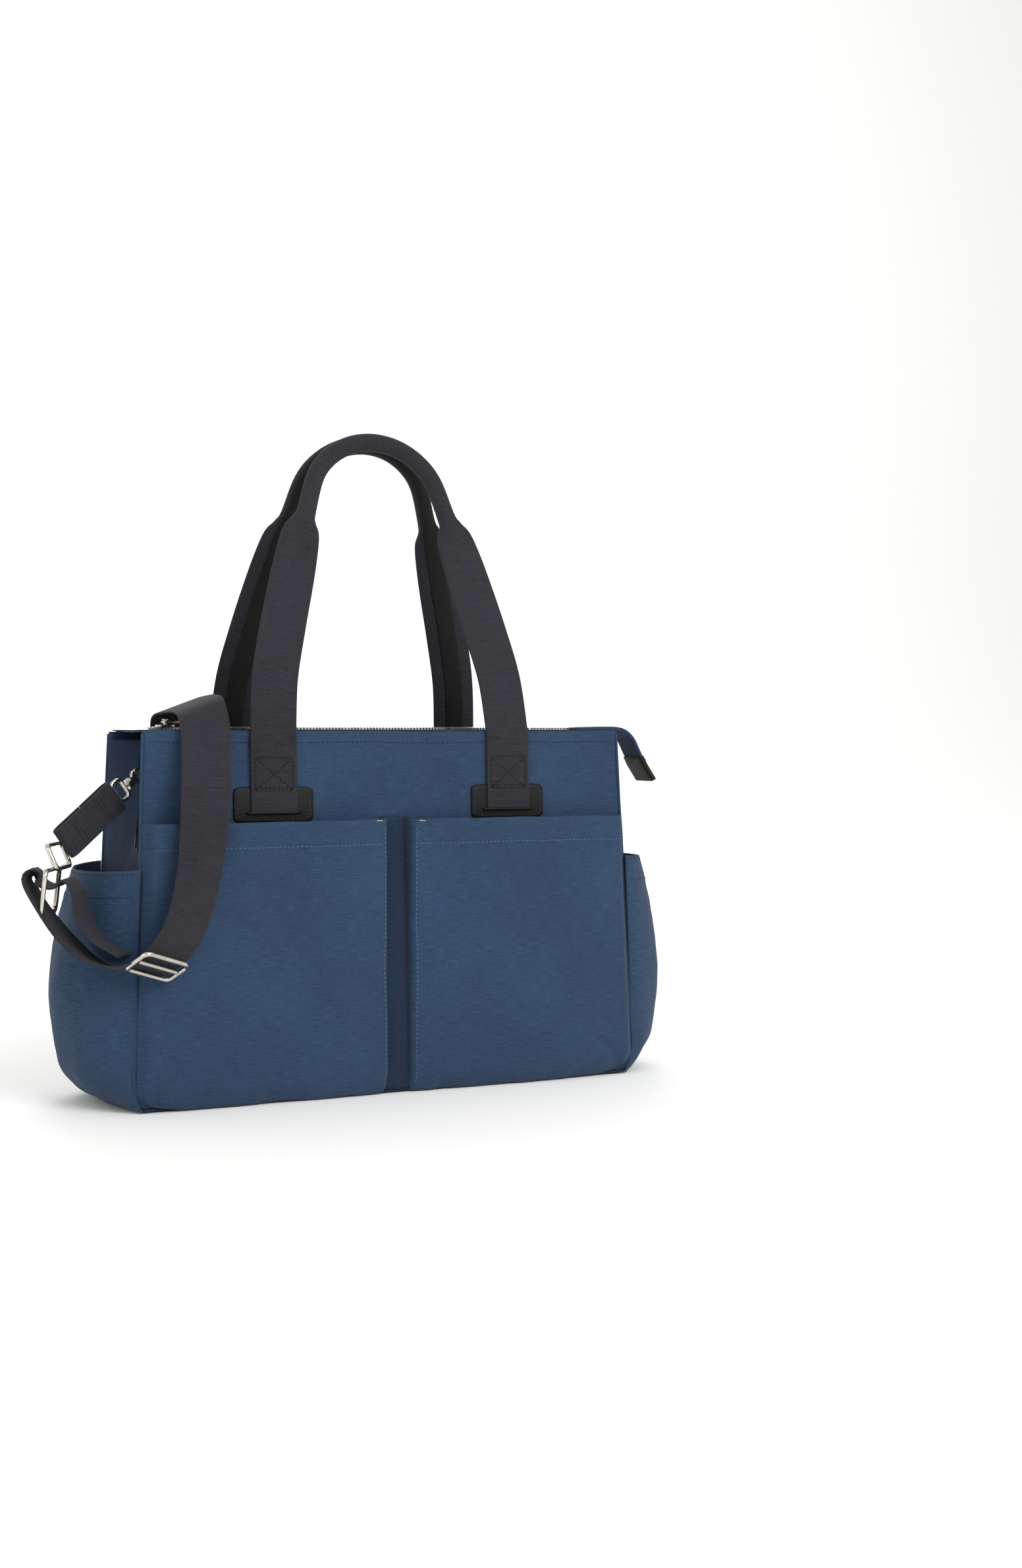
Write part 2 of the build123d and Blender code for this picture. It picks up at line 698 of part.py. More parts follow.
GATE_START = 1.6
GATE_PIVOT = 11.0
with BuildPart() as snap_hook:
    with BuildSketch(hook_plane):
        with Locations((6, 0)):
            SlotOverall(23, 13)
        with Locations((19, 0)):
            Rectangle(6, 6)
        with Locations((5.7, 0)):
            SlotOverall(16.6, 6.8, mode=Mode.SUBTRACT)
        with Locations(((GATE_START - 0.3 + 12.9) / 2, 5)):
            Rectangle(12.9 - GATE_START + 0.3, 4.2, mode=Mode.SUBTRACT)
    extrude(amount=2, both=True)
    with BuildSketch(Plane(origin=RING_BOW + HOOK_AXIS * 20, z_dir=HOOK_AXIS)):
        Circle(4.2)
    extrude(amount=3.5)
    with BuildSketch(Plane(origin=RING_BOW + HOOK_AXIS * 20, z_dir=HOOK_AXIS)):
        Circle(1.6)
    extrude(amount=8, mode=Mode.SUBTRACT)
save_pair(snap_hook, "snap_hook")

with BuildPart() as hook_gate:
    with BuildSketch(hook_plane):
        with Locations(((GATE_START + 11.9) / 2, 4.9)):
            RectangleRounded(11.9 - GATE_START, 2.6, 1)
    extrude(amount=1.4, both=True)
save_pair(hook_gate, "hook_gate")

EYE_HALF_WIDTH = 8.0
EYE_NEAR = 26.0
EYE_FAR = 36.0
eye_loop = wire_loop(hook_plane, box_corners(EYE_NEAR, EYE_FAR, EYE_HALF_WIDTH), 4, 1.6)
with BuildPart() as swivel_eye:
    add(eye_loop.part)
    with BuildSketch(Plane(origin=RING_BOW + HOOK_AXIS * 20.6, z_dir=HOOK_AXIS)):
        Circle(1.5)
    extrude(amount=EYE_NEAR - 20.6)
save_pair(swivel_eye, "swivel_eye")


# Webbing of the shoulder strap, as a band through stations of (centre, width direction)
def band(stations, width, thick):
    """A flat band that runs through the stations."""
    centres = [Vector(*centre) for centre, _ in stations]
    with BuildPart() as strip:
        for index, (_, across) in enumerate(stations):
            before = centres[max(index - 1, 0)]
            after = centres[min(index + 1, len(centres) - 1)]
            run = (after - before).normalized()
            across = Vector(*across)
            across = (across - run * across.dot(run)).normalized()
            with BuildSketch(Plane(origin=centres[index], x_dir=across, z_dir=run)):
                Rectangle(width, thick)
        loft(ruled=True)
    return strip


STRAP_STATIONS = [
    ((218, 26, 238), (-0.3, 0.5, 0.8)),
    ((226, 44, 226), (-0.7, 0.4, 0.6)),
    ((222, 62, 206), (-0.8, 0.2, 0.5)),
    ((206, 76, 176), (-0.9, 0, 0.4)),
    ((188, 82, 140), (-0.9, 0, 0.45)),
    ((160, 84, 102), (-0.7, 0, 0.7)),
    ((116, 84, 72), (-0.45, 0, 0.9)),
    ((60, 84, 56), (-0.2, 0, 1)),
    ((0, 84, 50), (0, 0, 1)),
    ((-60, 84, 56), (0.3, 0, 0.95)),
    ((-108, 84, 78), (0.6, 0, 0.8)),
    ((-134, 83, 112), (0.85, 0, 0.5)),
    ((-145, 80, 158), (0.97, 0, 0.2)),
    ((-148, 74, 212), (1, 0, 0)),
    ((-149, 68, 262), (1, 0, 0.05)),
    ((-151, 60, 296), (0.98, 0, 0.2)),
    ((-153, 46, 311), (0.93, -0.1, 0.33)),
    ((-156, 10, 314), (0.93, -0.1, 0.36)),
    ((-159, -36, 314), (0.92, -0.2, 0.36)),
    ((-161, -58, 308), (0.92, -0.3, 0.33)),
    ((-161, -69, 288), (0.93, -0.34, 0.1)),
    ((-163, -76, 256), (0.97, -0.2, 0)),
    ((-166, -81, 222), (1, 0, 0)),
    ((-172, -87, 186), (0.97, 0.24, -0.08)),
    ((-183, -95, 152), (0.92, 0.36, -0.17)),
    ((-195, -98, 132), (0.87, 0.40, -0.29)),
    ((-207, -92, 119.3), (0.865, 0.402, -0.301)),
    ((-226, -84, 114), (0.75, 0.6, -0.25)),
    ((-249, -72, 120), (0.6, 0.78, -0.15)),
    ((-268, -60, 138), (0.5, 0.86, 0)),
    ((-284, -51, 162), (0.43, 0.9, 0)),
    ((-292, -46, 180), (0.43, 0.9, 0)),
    ((-287, -45, 186), (0.43, 0.9, 0)),
    ((-280, -46, 178), (0.43, 0.9, 0)),
    ((-271, -48, 176), (0.43, 0.9, 0)),
    ((-264, -51, 181), (0.43, 0.9, 0)),
    ((-257, -54, 172), (0.45, 0.9, 0)),
    ((-254, -59, 154), (0.5, 0.86, 0)),
    ((-246, -68, 137), (0.6, 0.78, -0.15)),
    ((-228, -79, 124), (0.75, 0.6, -0.25)),
]
save(band(STRAP_STATIONS, WEBBING_WIDTH, WEBBING), "shoulder_strap_webbing")

SHORT_STRAP_STATIONS = [
    ((-223, -25, 241), (-0.5, -0.2, 0.8)),
    ((-233, -31, 233), (-0.55, -0.2, 0.8)),
    ((-248, -38, 221), (-0.6, -0.2, 0.75)),
    ((-263, -45, 210), (-0.6, -0.2, 0.7)),
]
SHORT_STRAP_WIDTH = 26.0
SHORT_STRAP = 6.0
save(band(SHORT_STRAP_STATIONS, SHORT_STRAP_WIDTH, SHORT_STRAP), "short_strap")

# Two oval rings join the short strap to the shoulder strap
UPPER_RING = Vector(-270, -48, 199)
LOWER_RING = Vector(-276, -46, 172)
RING_DEPTH = Vector(0.43, 0.9, 0).normalized()
for centre, rise, half_rise, name in (
    (UPPER_RING, Vector(0.35, -0.17, -0.92), 9.5, "upper_oval_ring"),
    (LOWER_RING, Vector(-0.1, 0.05, -0.99), 17.0, "lower_oval_ring"),
):
    rise = (rise - RING_DEPTH * rise.dot(RING_DEPTH)).normalized()
    oval_plane = Plane(origin=centre, x_dir=rise, z_dir=rise.cross(RING_DEPTH))
    save(wire_loop(oval_plane, box_corners(-half_rise, half_rise, 23.0), 5.0, 2.0), name)

# The adjuster on the shoulder strap: a wire frame with a bar across its middle
ADJUSTER = Vector(-206.9, -94.4, 116.2)
ADJUSTER_ACROSS = Vector(0.865, 0.402, -0.301).normalized()
ADJUSTER_RUN = Vector(-0.505, 0.68, -0.53)
ADJUSTER_RUN = (ADJUSTER_RUN - ADJUSTER_ACROSS * ADJUSTER_RUN.dot(ADJUSTER_ACROSS)).normalized()
adjuster_plane = Plane(origin=ADJUSTER, x_dir=ADJUSTER_RUN, z_dir=ADJUSTER_RUN.cross(ADJUSTER_ACROSS))
save(wire_loop(adjuster_plane, box_corners(-12.0, 12.0, 21.5), 5.0, 1.9), "strap_adjuster_frame")
with BuildPart() as strap_adjuster_bar:
    with BuildSketch(Plane(origin=ADJUSTER - ADJUSTER_ACROSS * 19, z_dir=ADJUSTER_ACROSS)):
        Circle(1.7)
    extrude(amount=38)
save(strap_adjuster_bar, "strap_adjuster_bar")
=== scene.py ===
import math

import bpy
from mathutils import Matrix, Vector, noise


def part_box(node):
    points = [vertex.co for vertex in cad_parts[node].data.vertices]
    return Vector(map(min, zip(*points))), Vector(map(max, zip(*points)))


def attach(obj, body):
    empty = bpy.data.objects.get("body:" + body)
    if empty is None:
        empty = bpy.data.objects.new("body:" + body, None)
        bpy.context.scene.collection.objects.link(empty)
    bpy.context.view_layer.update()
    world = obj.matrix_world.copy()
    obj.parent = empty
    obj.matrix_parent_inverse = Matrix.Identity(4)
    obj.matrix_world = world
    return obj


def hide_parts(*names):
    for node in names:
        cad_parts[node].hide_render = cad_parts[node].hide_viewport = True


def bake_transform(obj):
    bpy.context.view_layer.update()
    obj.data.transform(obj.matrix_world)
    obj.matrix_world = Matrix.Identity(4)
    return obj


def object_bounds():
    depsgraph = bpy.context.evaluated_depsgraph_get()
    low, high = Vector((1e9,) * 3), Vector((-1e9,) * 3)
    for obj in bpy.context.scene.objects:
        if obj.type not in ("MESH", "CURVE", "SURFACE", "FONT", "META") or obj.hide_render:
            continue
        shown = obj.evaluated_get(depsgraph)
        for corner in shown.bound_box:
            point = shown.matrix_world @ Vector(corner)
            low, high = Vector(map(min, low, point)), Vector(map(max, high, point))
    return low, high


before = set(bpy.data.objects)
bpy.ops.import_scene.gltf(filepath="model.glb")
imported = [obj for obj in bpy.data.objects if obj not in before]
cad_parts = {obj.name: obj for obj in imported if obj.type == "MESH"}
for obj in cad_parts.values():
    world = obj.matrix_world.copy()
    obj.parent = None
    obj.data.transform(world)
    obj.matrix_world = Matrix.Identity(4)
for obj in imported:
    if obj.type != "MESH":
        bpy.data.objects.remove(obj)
cad_low, cad_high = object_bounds()

# Everything below is written in millimetres, and MM turns it to the frame's metres.
MM = 0.001


def box_mm(node):
    """A CAD node's lowest and highest corner, in millimetres."""
    low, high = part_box(node)
    return low / MM, high / MM


# Sizes that come from the frame
base_low, base_high = box_mm("base_panel")
front_low, front_high = box_mm("front_panel")
back_high = box_mm("back_panel")[1]
pocket_low, pocket_high = box_mm("front_pocket_left")
side_high = box_mm("side_pocket_left")[1]
gusset_high = box_mm("left_gusset")[1]
flap_low, flap_high = box_mm("front_closure_strip")
patch_low, patch_high = box_mm("front_patch_left")
facing_low, facing_high = box_mm("front_top_facing")

BASE_HALF = base_high.x
TOP_Z = front_high.z
TOP_HALF = facing_high.x + 6
FRONT_BASE_Y = front_low.y
FRONT_TOP_Y = facing_low.y
BACK_BASE_Y = back_high.y
BACK_TOP_Y = -facing_low.y
POCKET_Y = pocket_low.y
POCKET_TOP = pocket_high.z
PLEAT_HALF = -pocket_high.x
SIDE_MOUTH = side_high.z
GUSSET_TOP = gusset_high.z
CLOSURE_TOP = flap_high.z
FLAP_HALF = flap_high.x
HINGE_Y = -flap_low.y

# Cloth and webbing
CANVAS_THICK = 1.6
LINING_THICK = 0.8
WEBBING_THICK = 1.8
WEBBING_WIDE = 38.0
HEM_PROUD = 0.7


def linear(hex_colour):
    """An sRGB hex colour as the linear colour that a shader takes."""
    values = [int(hex_colour[i:i + 2], 16) / 255 for i in (1, 3, 5)]
    return [v / 12.92 if v <= 0.04045 else ((v + 0.055) / 1.055) ** 2.4 for v in values] + [1.0]


def add(tree, kind, inputs=None, **settings):
    """Adds a node, with its settings, and each input set to a value or joined to a socket."""
    made = tree.nodes.new(kind)
    for name, value in settings.items():
        setattr(made, name, value)
    for name, value in (inputs or {}).items():
        if isinstance(value, bpy.types.NodeSocket):
            tree.links.new(value, made.inputs[name])
        else:
            made.inputs[name].default_value = value
    return made


def new_material(name):
    """An empty material with its shader and output joined."""
    material = bpy.data.materials.new(name)
    material.use_nodes = True
    tree = material.node_tree
    tree.nodes.clear()
    shader = add(tree, "ShaderNodeBsdfPrincipled")
    add(tree, "ShaderNodeOutputMaterial", {"Surface": shader.outputs["BSDF"]})
    return material, tree, shader


def bands_scale(period_mm):
    """The Scale that gives a wave texture's straight bands that spacing, on metre coordinates."""
    return 2 * math.pi / 20 / (period_mm * MM)


def woven(name, dark, light, warp_mm, weft_mm, slub, relief, roughness, sheen, streak=(90, 1500)):
    """Woven cloth: two crossing thread directions, slubs in the yarn and uneven dye."""
    material, tree, shader = new_material(name)
    place = add(tree, "ShaderNodeUVMap", uv_map="cloth").outputs["UV"]
    weft_place = add(tree, "ShaderNodeMapping", {"Vector": place, "Scale": (streak[0], streak[1], 1)})
    warp_place = add(tree, "ShaderNodeMapping", {"Vector": place, "Scale": (streak[1], streak[0], 1)})
    weft_slub = add(tree, "ShaderNodeTexNoise",
                    {"Vector": weft_place.outputs["Vector"], "Scale": 1.0, "Detail": 3.0})
    warp_slub = add(tree, "ShaderNodeTexNoise",
                    {"Vector": warp_place.outputs["Vector"], "Scale": 1.0, "Detail": 3.0})
    dye = add(tree, "ShaderNodeTexNoise", {"Vector": place, "Scale": 9.0, "Detail": 4.0})
    slubs = add(tree, "ShaderNodeMath", {0: warp_slub.outputs["Fac"], 1: 0.35, 2: weft_slub.outputs["Fac"]},
                operation="MULTIPLY_ADD")
    spread = add(tree, "ShaderNodeMapRange", {"Value": slubs.outputs[0], "From Min": 0.42, "From Max": 0.93,
                                              "To Min": 0.5 - slub, "To Max": 0.5 + slub})
    uneven = add(tree, "ShaderNodeMapRange", {"Value": dye.outputs["Fac"], "From Min": 0.3, "From Max": 0.7,
                                              "To Min": -0.14, "To Max": 0.14})
    share = add(tree, "ShaderNodeMath", {0: spread.outputs[0], 1: uneven.outputs[0]},
                operation="ADD", use_clamp=True)
    colour = add(tree, "ShaderNodeMix", {"Factor": share.outputs[0], "A": linear(dark), "B": linear(light)},
                 data_type="RGBA")
    tree.links.new(colour.outputs["Result"], shader.inputs["Base Color"])
    warp = add(tree, "ShaderNodeTexWave", {"Vector": place, "Scale": bands_scale(warp_mm), "Distortion": 0.6},
               bands_direction="X")
    weft = add(tree, "ShaderNodeTexWave", {"Vector": place, "Scale": bands_scale(weft_mm), "Distortion": 0.6},
               bands_direction="Y")
    threads = add(tree, "ShaderNodeMath", {0: warp.outputs["Fac"], 1: weft.outputs["Fac"]},
                  operation="MULTIPLY")
    height = add(tree, "ShaderNodeMath", {0: threads.outputs[0], 1: slubs.outputs[0]}, operation="ADD")
    bump = add(tree, "ShaderNodeBump",
               {"Height": height.outputs[0], "Strength": relief, "Distance": 0.5 * MM})
    tree.links.new(bump.outputs["Normal"], shader.inputs["Normal"])
    shader.inputs["Roughness"].default_value = roughness
    shader.inputs["Sheen Weight"].default_value = sheen
    shader.inputs["Sheen Roughness"].default_value = 0.5
    shader.inputs["Specular IOR Level"].default_value = 0.25
    return material


def grained(name, dark, light, grain_mm, relief, roughness, specular=0.5):
    """Leather or moulded rubber: a pebbled grain with a little wear."""
    material, tree, shader = new_material(name)
    place = add(tree, "ShaderNodeTexCoord").outputs["Object"]
    pebble = add(tree, "ShaderNodeTexVoronoi", {"Vector": place, "Scale": 1 / (grain_mm * MM)},
                 feature="SMOOTH_F1")
    wear = add(tree, "ShaderNodeTexNoise", {"Vector": place, "Scale": 60.0, "Detail": 5.0})
    share = add(tree, "ShaderNodeMapRange", {"Value": wear.outputs["Fac"], "From Min": 0.3, "From Max": 0.75})
    colour = add(tree, "ShaderNodeMix", {"Factor": share.outputs[0], "A": linear(dark), "B": linear(light)},
                 data_type="RGBA")
    tree.links.new(colour.outputs["Result"], shader.inputs["Base Color"])
    rough = add(tree, "ShaderNodeMapRange", {"Value": wear.outputs["Fac"], "To Min": roughness - 0.08,
                                             "To Max": roughness + 0.12})
    tree.links.new(rough.outputs[0], shader.inputs["Roughness"])
    bump = add(tree, "ShaderNodeBump", {"Height": pebble.outputs["Distance"], "Strength": relief,
                                        "Distance": 0.3 * MM})
    tree.links.new(bump.outputs["Normal"], shader.inputs["Normal"])
    shader.inputs["Specular IOR Level"].default_value = specular
    return material


def plated(name, dark, light, roughness):
    """Plated metal: bright, with faint polishing marks and handling smudges."""
    material, tree, shader = new_material(name)
    place = add(tree, "ShaderNodeTexCoord").outputs["Object"]
    smudge = add(tree, "ShaderNodeTexNoise", {"Vector": place, "Scale": 140.0, "Detail": 4.0})
    polish = add(tree, "ShaderNodeTexNoise", {"Vector": place, "Scale": 1500.0, "Detail": 2.0})
    colour = add(tree, "ShaderNodeMix",
                 {"Factor": smudge.outputs["Fac"], "A": linear(dark), "B": linear(light)}, data_type="RGBA")
    tree.links.new(colour.outputs["Result"], shader.inputs["Base Color"])
    rough = add(tree, "ShaderNodeMapRange", {"Value": smudge.outputs["Fac"], "From Min": 0.3, "From Max": 0.7,
                                             "To Min": roughness * 0.7, "To Max": roughness * 1.5})
    tree.links.new(rough.outputs[0], shader.inputs["Roughness"])
    bump = add(tree, "ShaderNodeBump",
               {"Height": polish.outputs["Fac"], "Strength": 0.08, "Distance": 0.1 * MM})
    tree.links.new(bump.outputs["Normal"], shader.inputs["Normal"])
    shader.inputs["Metallic"].default_value = 1.0
    return material


def coiled(name, dark, light, pitch_mm, roughness):
    """Moulded nylon with fine ribs across it, as a coil zip shows, and shade painted darker into the grooves
    between the ribs.
    """
    material, tree, shader = new_material(name)
    place = add(tree, "ShaderNodeTexCoord").outputs["Object"]
    ribs = add(tree, "ShaderNodeTexWave", {"Vector": place, "Scale": bands_scale(pitch_mm)},
               bands_direction="Z")
    # The colour follows the ribs' height: darker in the grooves as painted shade.
    colour = add(tree, "ShaderNodeMix",
                 {"Factor": ribs.outputs["Fac"], "A": linear(dark), "B": linear(light)}, data_type="RGBA")
    tree.links.new(colour.outputs["Result"], shader.inputs["Base Color"])
    bump = add(tree, "ShaderNodeBump", {"Height": ribs.outputs["Fac"], "Strength": 0.7, "Distance": 0.5 * MM})
    tree.links.new(bump.outputs["Normal"], shader.inputs["Normal"])
    shader.inputs["Roughness"].default_value = roughness
    return material


# Cotton canvas, plain woven from slubby yarn and piece-dyed navy: matt, with short pale streaks across.
# Its threads are 0.5 mm apart on the real cloth and are drawn at 1.1 mm so that they show.
canvas = woven("navy_cotton_canvas", "#1b2a3f", "#304865", 1.1, 1.1, 0.36, 0.5, 0.88, 0.05)
# The same canvas with shade painted into its colour: darker, for the parts tucked out of the light.
canvas_painted_shade = woven("navy_cotton_canvas_painted_shade", "#141e30", "#22324a", 1.1, 1.1, 0.3, 0.45, 0.9, 0.03)
# Cotton webbing, woven with a heavy weft: close ribs across its width and a softer edge.
webbing = woven("charcoal_cotton_webbing", "#19181d", "#313038", 1.0, 1.9, 0.3, 0.9, 0.86, 0.04, (60, 900))
# Proofed lining cloth: smooth and cream, with a slight shine.
lining = woven("cream_proofed_lining", "#b8b09d", "#d2cbb9", 0.7, 0.7, 0.25, 0.15, 0.55, 0.05)
# Polyester zip tape: a tight flat weave, darker than the canvas.
tape = woven("navy_zip_tape", "#111925", "#1d2838", 0.7, 1.2, 0.3, 0.4, 0.75, 0.03)
# Polyester sewing thread: a little paler than the canvas on the pockets, and darker at the edges.
thread_blue = woven("slate_blue_thread", "#3a506b", "#566e8c", 0.5, 0.5, 0.3, 0.2, 0.65, 0.03)
thread_navy = woven("dark_navy_thread", "#121a27", "#1f2c3f", 0.5, 0.5, 0.3, 0.2, 0.65, 0.03)
thread_dark = woven("charcoal_thread", "#08080a", "#141317", 0.5, 0.5, 0.3, 0.2, 0.65, 0.03)
# Waxed thread on the handle patches: greyer than the hide, with a slight shine.
thread_patch = woven("grey_waxed_thread", "#26262a", "#3d3d43", 0.5, 0.5, 0.3, 0.2, 0.5, 0.03)
thread_cream = woven("cream_thread", "#9c9587", "#beb7a9", 0.5, 0.5, 0.3, 0.2, 0.65, 0.03)
# Black hide with a pressed pebble grain, semi-matt.
leather = grained("black_pebbled_leather", "#050505", "#0e0e0d", 0.9, 0.5, 0.55, 0.22)
# Dark brown hide on the zip's tail.
brown_leather = grained("dark_brown_leather", "#0d0805", "#1c130d", 0.9, 0.4, 0.55, 0.25)
# Moulded rubber, matt black.
rubber = grained("black_moulded_rubber", "#070708", "#111112", 0.6, 0.15, 0.55, 0.35)
# Polished nickel plate on die-cast zinc: warm and bright.
nickel = plated("polished_nickel_plate", "#b3aca0", "#dcd7cd", 0.16)
# Stamped metal zip teeth, brighter and less even.
teeth_metal = plated("stamped_zip_teeth", "#b9b6b0", "#e6e3dd", 0.24)
# Nylon coil zip, dyed dark, with shade painted into the grooves between its ribs.
coil = coiled("navy_nylon_coil", "#080b11", "#1a2130", 1.4, 0.45)
# Die-cast slider under dark paint.
painted = grained("dark_painted_zinc", "#12161f", "#222938", 1.5, 0.05, 0.35)
# Black polypropylene sheet with a fine moulded grain.
board = grained("black_polypropylene", "#151516", "#242425", 1.2, 0.2, 0.5)


def smooth_step(value):
    """0 below 0, 1 above 1 and an even curve between."""
    t = min(1.0, max(0.0, value))
    return t * t * (3 - 2 * t)


def crumple(x, z, seed, size, amount):
    """A soft uneven movement of the cloth, the same each time."""
    return amount * noise.fractal(Vector((x / size, z / size, seed)), 1.0, 2.0, 3)


def through(stations, steps):
    """Rows of numbers along a smooth curve through the stations."""
    rows = []
    for i in range(len(stations) - 1):
        a, b = stations[max(i - 1, 0)], stations[i]
        c, d = stations[i + 1], stations[min(i + 2, len(stations) - 1)]
        for k in range(steps):
            t = k / steps
            rows.append([
                0.5 * (2 * q + (r - p) * t + (2 * p - 5 * q + 4 * r - s) * t**2
                       + (3 * q - p - 3 * r + s) * t**3)
                for p, q, r, s in zip(a, b, c, d)
            ])
    rows.append(list(stations[-1]))
    return rows


def make_piece(name, points, faces, places, material, body, stands_for=()):
    """A mesh piece from points in millimetres, with its cloth coordinates, riding on a body."""
    mesh = bpy.data.meshes.new(name)
    mesh.from_pydata([Vector(p) * MM for p in points], [], faces)
    layer = mesh.uv_layers.new(name="cloth")
    for loop in mesh.loops:
        layer.data[loop.index].uv = [v * MM for v in places[loop.vertex_index]]
    mesh.polygons.foreach_set("use_smooth", [True] * len(mesh.polygons))
    mesh.materials.append(material)
    mesh.validate()
    made = bpy.data.objects.new(name, mesh)
    bpy.context.scene.collection.objects.link(made)
    if body:
        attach(made, body)
    if stands_for:
        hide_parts(*stands_for)
    return made


def grid_faces(columns, rows, around=False):
    """The faces of a grid whose points run along each row in turn."""
    wide = columns if around else columns + 1
    faces = []
    for j in range(rows):
        for i in range(columns):
            k = (i + 1) % wide
            faces.append((j * wide + i, j * wide + k, (j + 1) * wide + k, (j + 1) * wide + i))
    return faces


def cloth(name, place, columns, rows, size, material, body="bag", stands_for=(), thick=CANVAS_THICK):
    """A sheet of cloth cut to size. place(u, v) gives each point, and its outer side faces out of u, v."""
    points, places = [], []
    for j in range(rows + 1):
        for i in range(columns + 1):
            points.append(place(i / columns, j / rows))
            places.append((i / columns * size[0], j / rows * size[1]))
    made = make_piece(name, points, grid_faces(columns, rows), places, material, body, stands_for)
    layer = made.modifiers.new("thickness", "SOLIDIFY")
    layer.thickness = thick * MM
    layer.offset = -1
    layer.use_even_offset = False
    return made


def band(name, stations, steps, material, body="bag", stands_for=(), sides=24,
         width=WEBBING_WIDE):
    """Webbing through stations of centre, width direction, width, thickness and roundness (2 is round)."""
    rows = through(stations, steps)
    centres = [Vector(row[:3]) for row in rows]
    points, places, along = [], [], 0.0
    for index, row in enumerate(rows):
        before, after = centres[max(index - 1, 0)], centres[min(index + 1, len(rows) - 1)]
        run = (after - before).normalized()
        across = Vector(row[3:6])
        across = (across - run * across.dot(run)).normalized()
        out = run.cross(across)
        wide, thick, roundness = row[6:9]
        if index:
            along += (centres[index] - centres[index - 1]).length
        for k in range(sides):
            turn = 2 * math.pi * (k + 0.5) / sides
            c, s = math.cos(turn), math.sin(turn)
            x = math.copysign(abs(c) ** (2 / roundness), c) * wide / 2
            y = math.copysign(abs(s) ** (2 / roundness), s) * thick / 2
            points.append(centres[index] + across * x + out * y)
            places.append((x / wide * width, along))
    faces = grid_faces(sides, len(rows) - 1, around=True)
    last = (len(rows) - 1) * sides
    faces += [tuple(reversed(range(sides))), tuple(range(last, last + sides))]
    made = make_piece(name, points, faces, places, material, body, stands_for)
    return made, along


def stitch_row(line, pitch=3.6, length=2.5, radius=0.42):
    """The points and faces of one row of stitches along a line of points."""
    points, faces = [], []
    reach = [0.0]
    for a, b in zip(line, line[1:]):
        reach.append(reach[-1] + (Vector(b) - Vector(a)).length)
    count = max(1, int(reach[-1] / pitch))

    def at(distance):
        for k in range(len(line) - 1):
            if distance <= reach[k + 1]:
                share = (distance - reach[k]) / max(reach[k + 1] - reach[k], 1e-6)
                return Vector(line[k]).lerp(Vector(line[k + 1]), share)
        return Vector(line[-1])

    for n in range(count):
        middle = (n + 0.5) * reach[-1] / count
        a, b = at(middle - length / 2), at(middle + length / 2)
        run = (b - a).normalized()
        side = run.orthogonal().normalized()
        other = run.cross(side)
        first = len(points)
        points.append(a)
        for share in (0.2, 0.8):
            for k in range(6):
                turn = k * math.pi / 3
                points.append(a.lerp(b, share) + (side * math.cos(turn) + other * math.sin(turn)) * radius)
        points.append(b)
        for k in range(6):
            n_k = (k + 1) % 6
            faces.append((first, first + 1 + n_k, first + 1 + k))
            faces.append((first + 1 + k, first + 1 + n_k, first + 7 + n_k, first + 7 + k))
            faces.append((first + 13, first + 7 + k, first + 7 + n_k))
    return points, faces


def stitches(name, lines, material, slot, body="bag", **sizes):
    """Rows of sewing thread as one piece."""
    points, faces = [], []
    for line in lines:
        more, made = stitch_row(line, **sizes)
        faces += [tuple(i + len(points) for i in face) for face in made]
        points += more
    return make_piece(name, points, faces, [(p[0], p[2]) for p in points], material, body)


# The bag's outline
CORNER_ROUND = 8.0
CORNER_HIGH = 26.0
WALL_TUCK = 4.5
TUCK_HIGH = 16.0


def seam_x(z):
    """Half of the bag's width at height z, rounded in at the floor."""
    straight = BASE_HALF + (TOP_HALF - BASE_HALF) * z / TOP_Z
    return straight - CORNER_ROUND * max(0.0, 1 - z / CORNER_HIGH) ** 2


def wall_y(face, z):
    """The outer side of the front wall (-1) or the back wall (1) at height z."""
    low, high = (FRONT_BASE_Y, FRONT_TOP_Y) if face < 0 else (BACK_BASE_Y, BACK_TOP_Y)
    tuck = WALL_TUCK * max(0.0, 1 - z / TUCK_HIGH) ** 2
    return low + (high - low) * z / TOP_Z - face * tuck


HANDLE_X = -(patch_low.x + patch_high.x) / 2
HEM_HIGH = 11.0
EDGE_HELD = 12.0


def near_handle(x, z):
    """1 where a handle is sewn on, so that the cloth lies flat under it, falling to 0 away from it."""
    aside = abs(abs(x) - HANDLE_X) - 36
    below = patch_low.z - 4 - z
    return 1 - smooth_step(max(aside, below) / 14)


def wall_dent(face, x, z):
    """How far a wall leans in where nothing holds it out."""
    edge = smooth_step((seam_x(z) - abs(x)) / 30) * smooth_step((TOP_Z - EDGE_HELD - z) / 34)
    slack, uneven = (1.6, 2.4) if face < 0 else (0.9, 1.4)
    return max(0.0, slack + crumple(x, z, 3 * face, 62, uneven)) * edge * (1 - near_handle(x, z))


def edge_lift(face, x):
    """The slight rise and fall of a wall's top edge."""
    return crumple(x, 0, 8 + face, 90, 1.4)


def wall_place(face):
    """The points of a wall's outer side."""

    def place(u, v):
        z = 2 + (TOP_Z - 2) * v
        x = -face * (2 * u - 1) * seam_x(z)
        dent = wall_dent(face, x, z)
        hem = HEM_PROUD * smooth_step((z - TOP_Z + HEM_HIGH + 1) / 1.5)
        lift = edge_lift(face, x) * v**8
        return x, wall_y(face, z) - face * dent + face * hem * 0.5, z + lift

    return place


WALL_SIZE = (2 * BASE_HALF, TOP_Z)
front_wall_place, back_wall_place = wall_place(-1), wall_place(1)
for word, wall_points in (("front", front_wall_place), ("back", back_wall_place)):
    cloth(f"{word}_wall_cloth", wall_points, 150, 120, WALL_SIZE, canvas,
          stands_for=[f"{word}_panel"])


FACING_DROP = 1.7
FACING_FLAT = 10.5
FACING_ROUND = 0.7


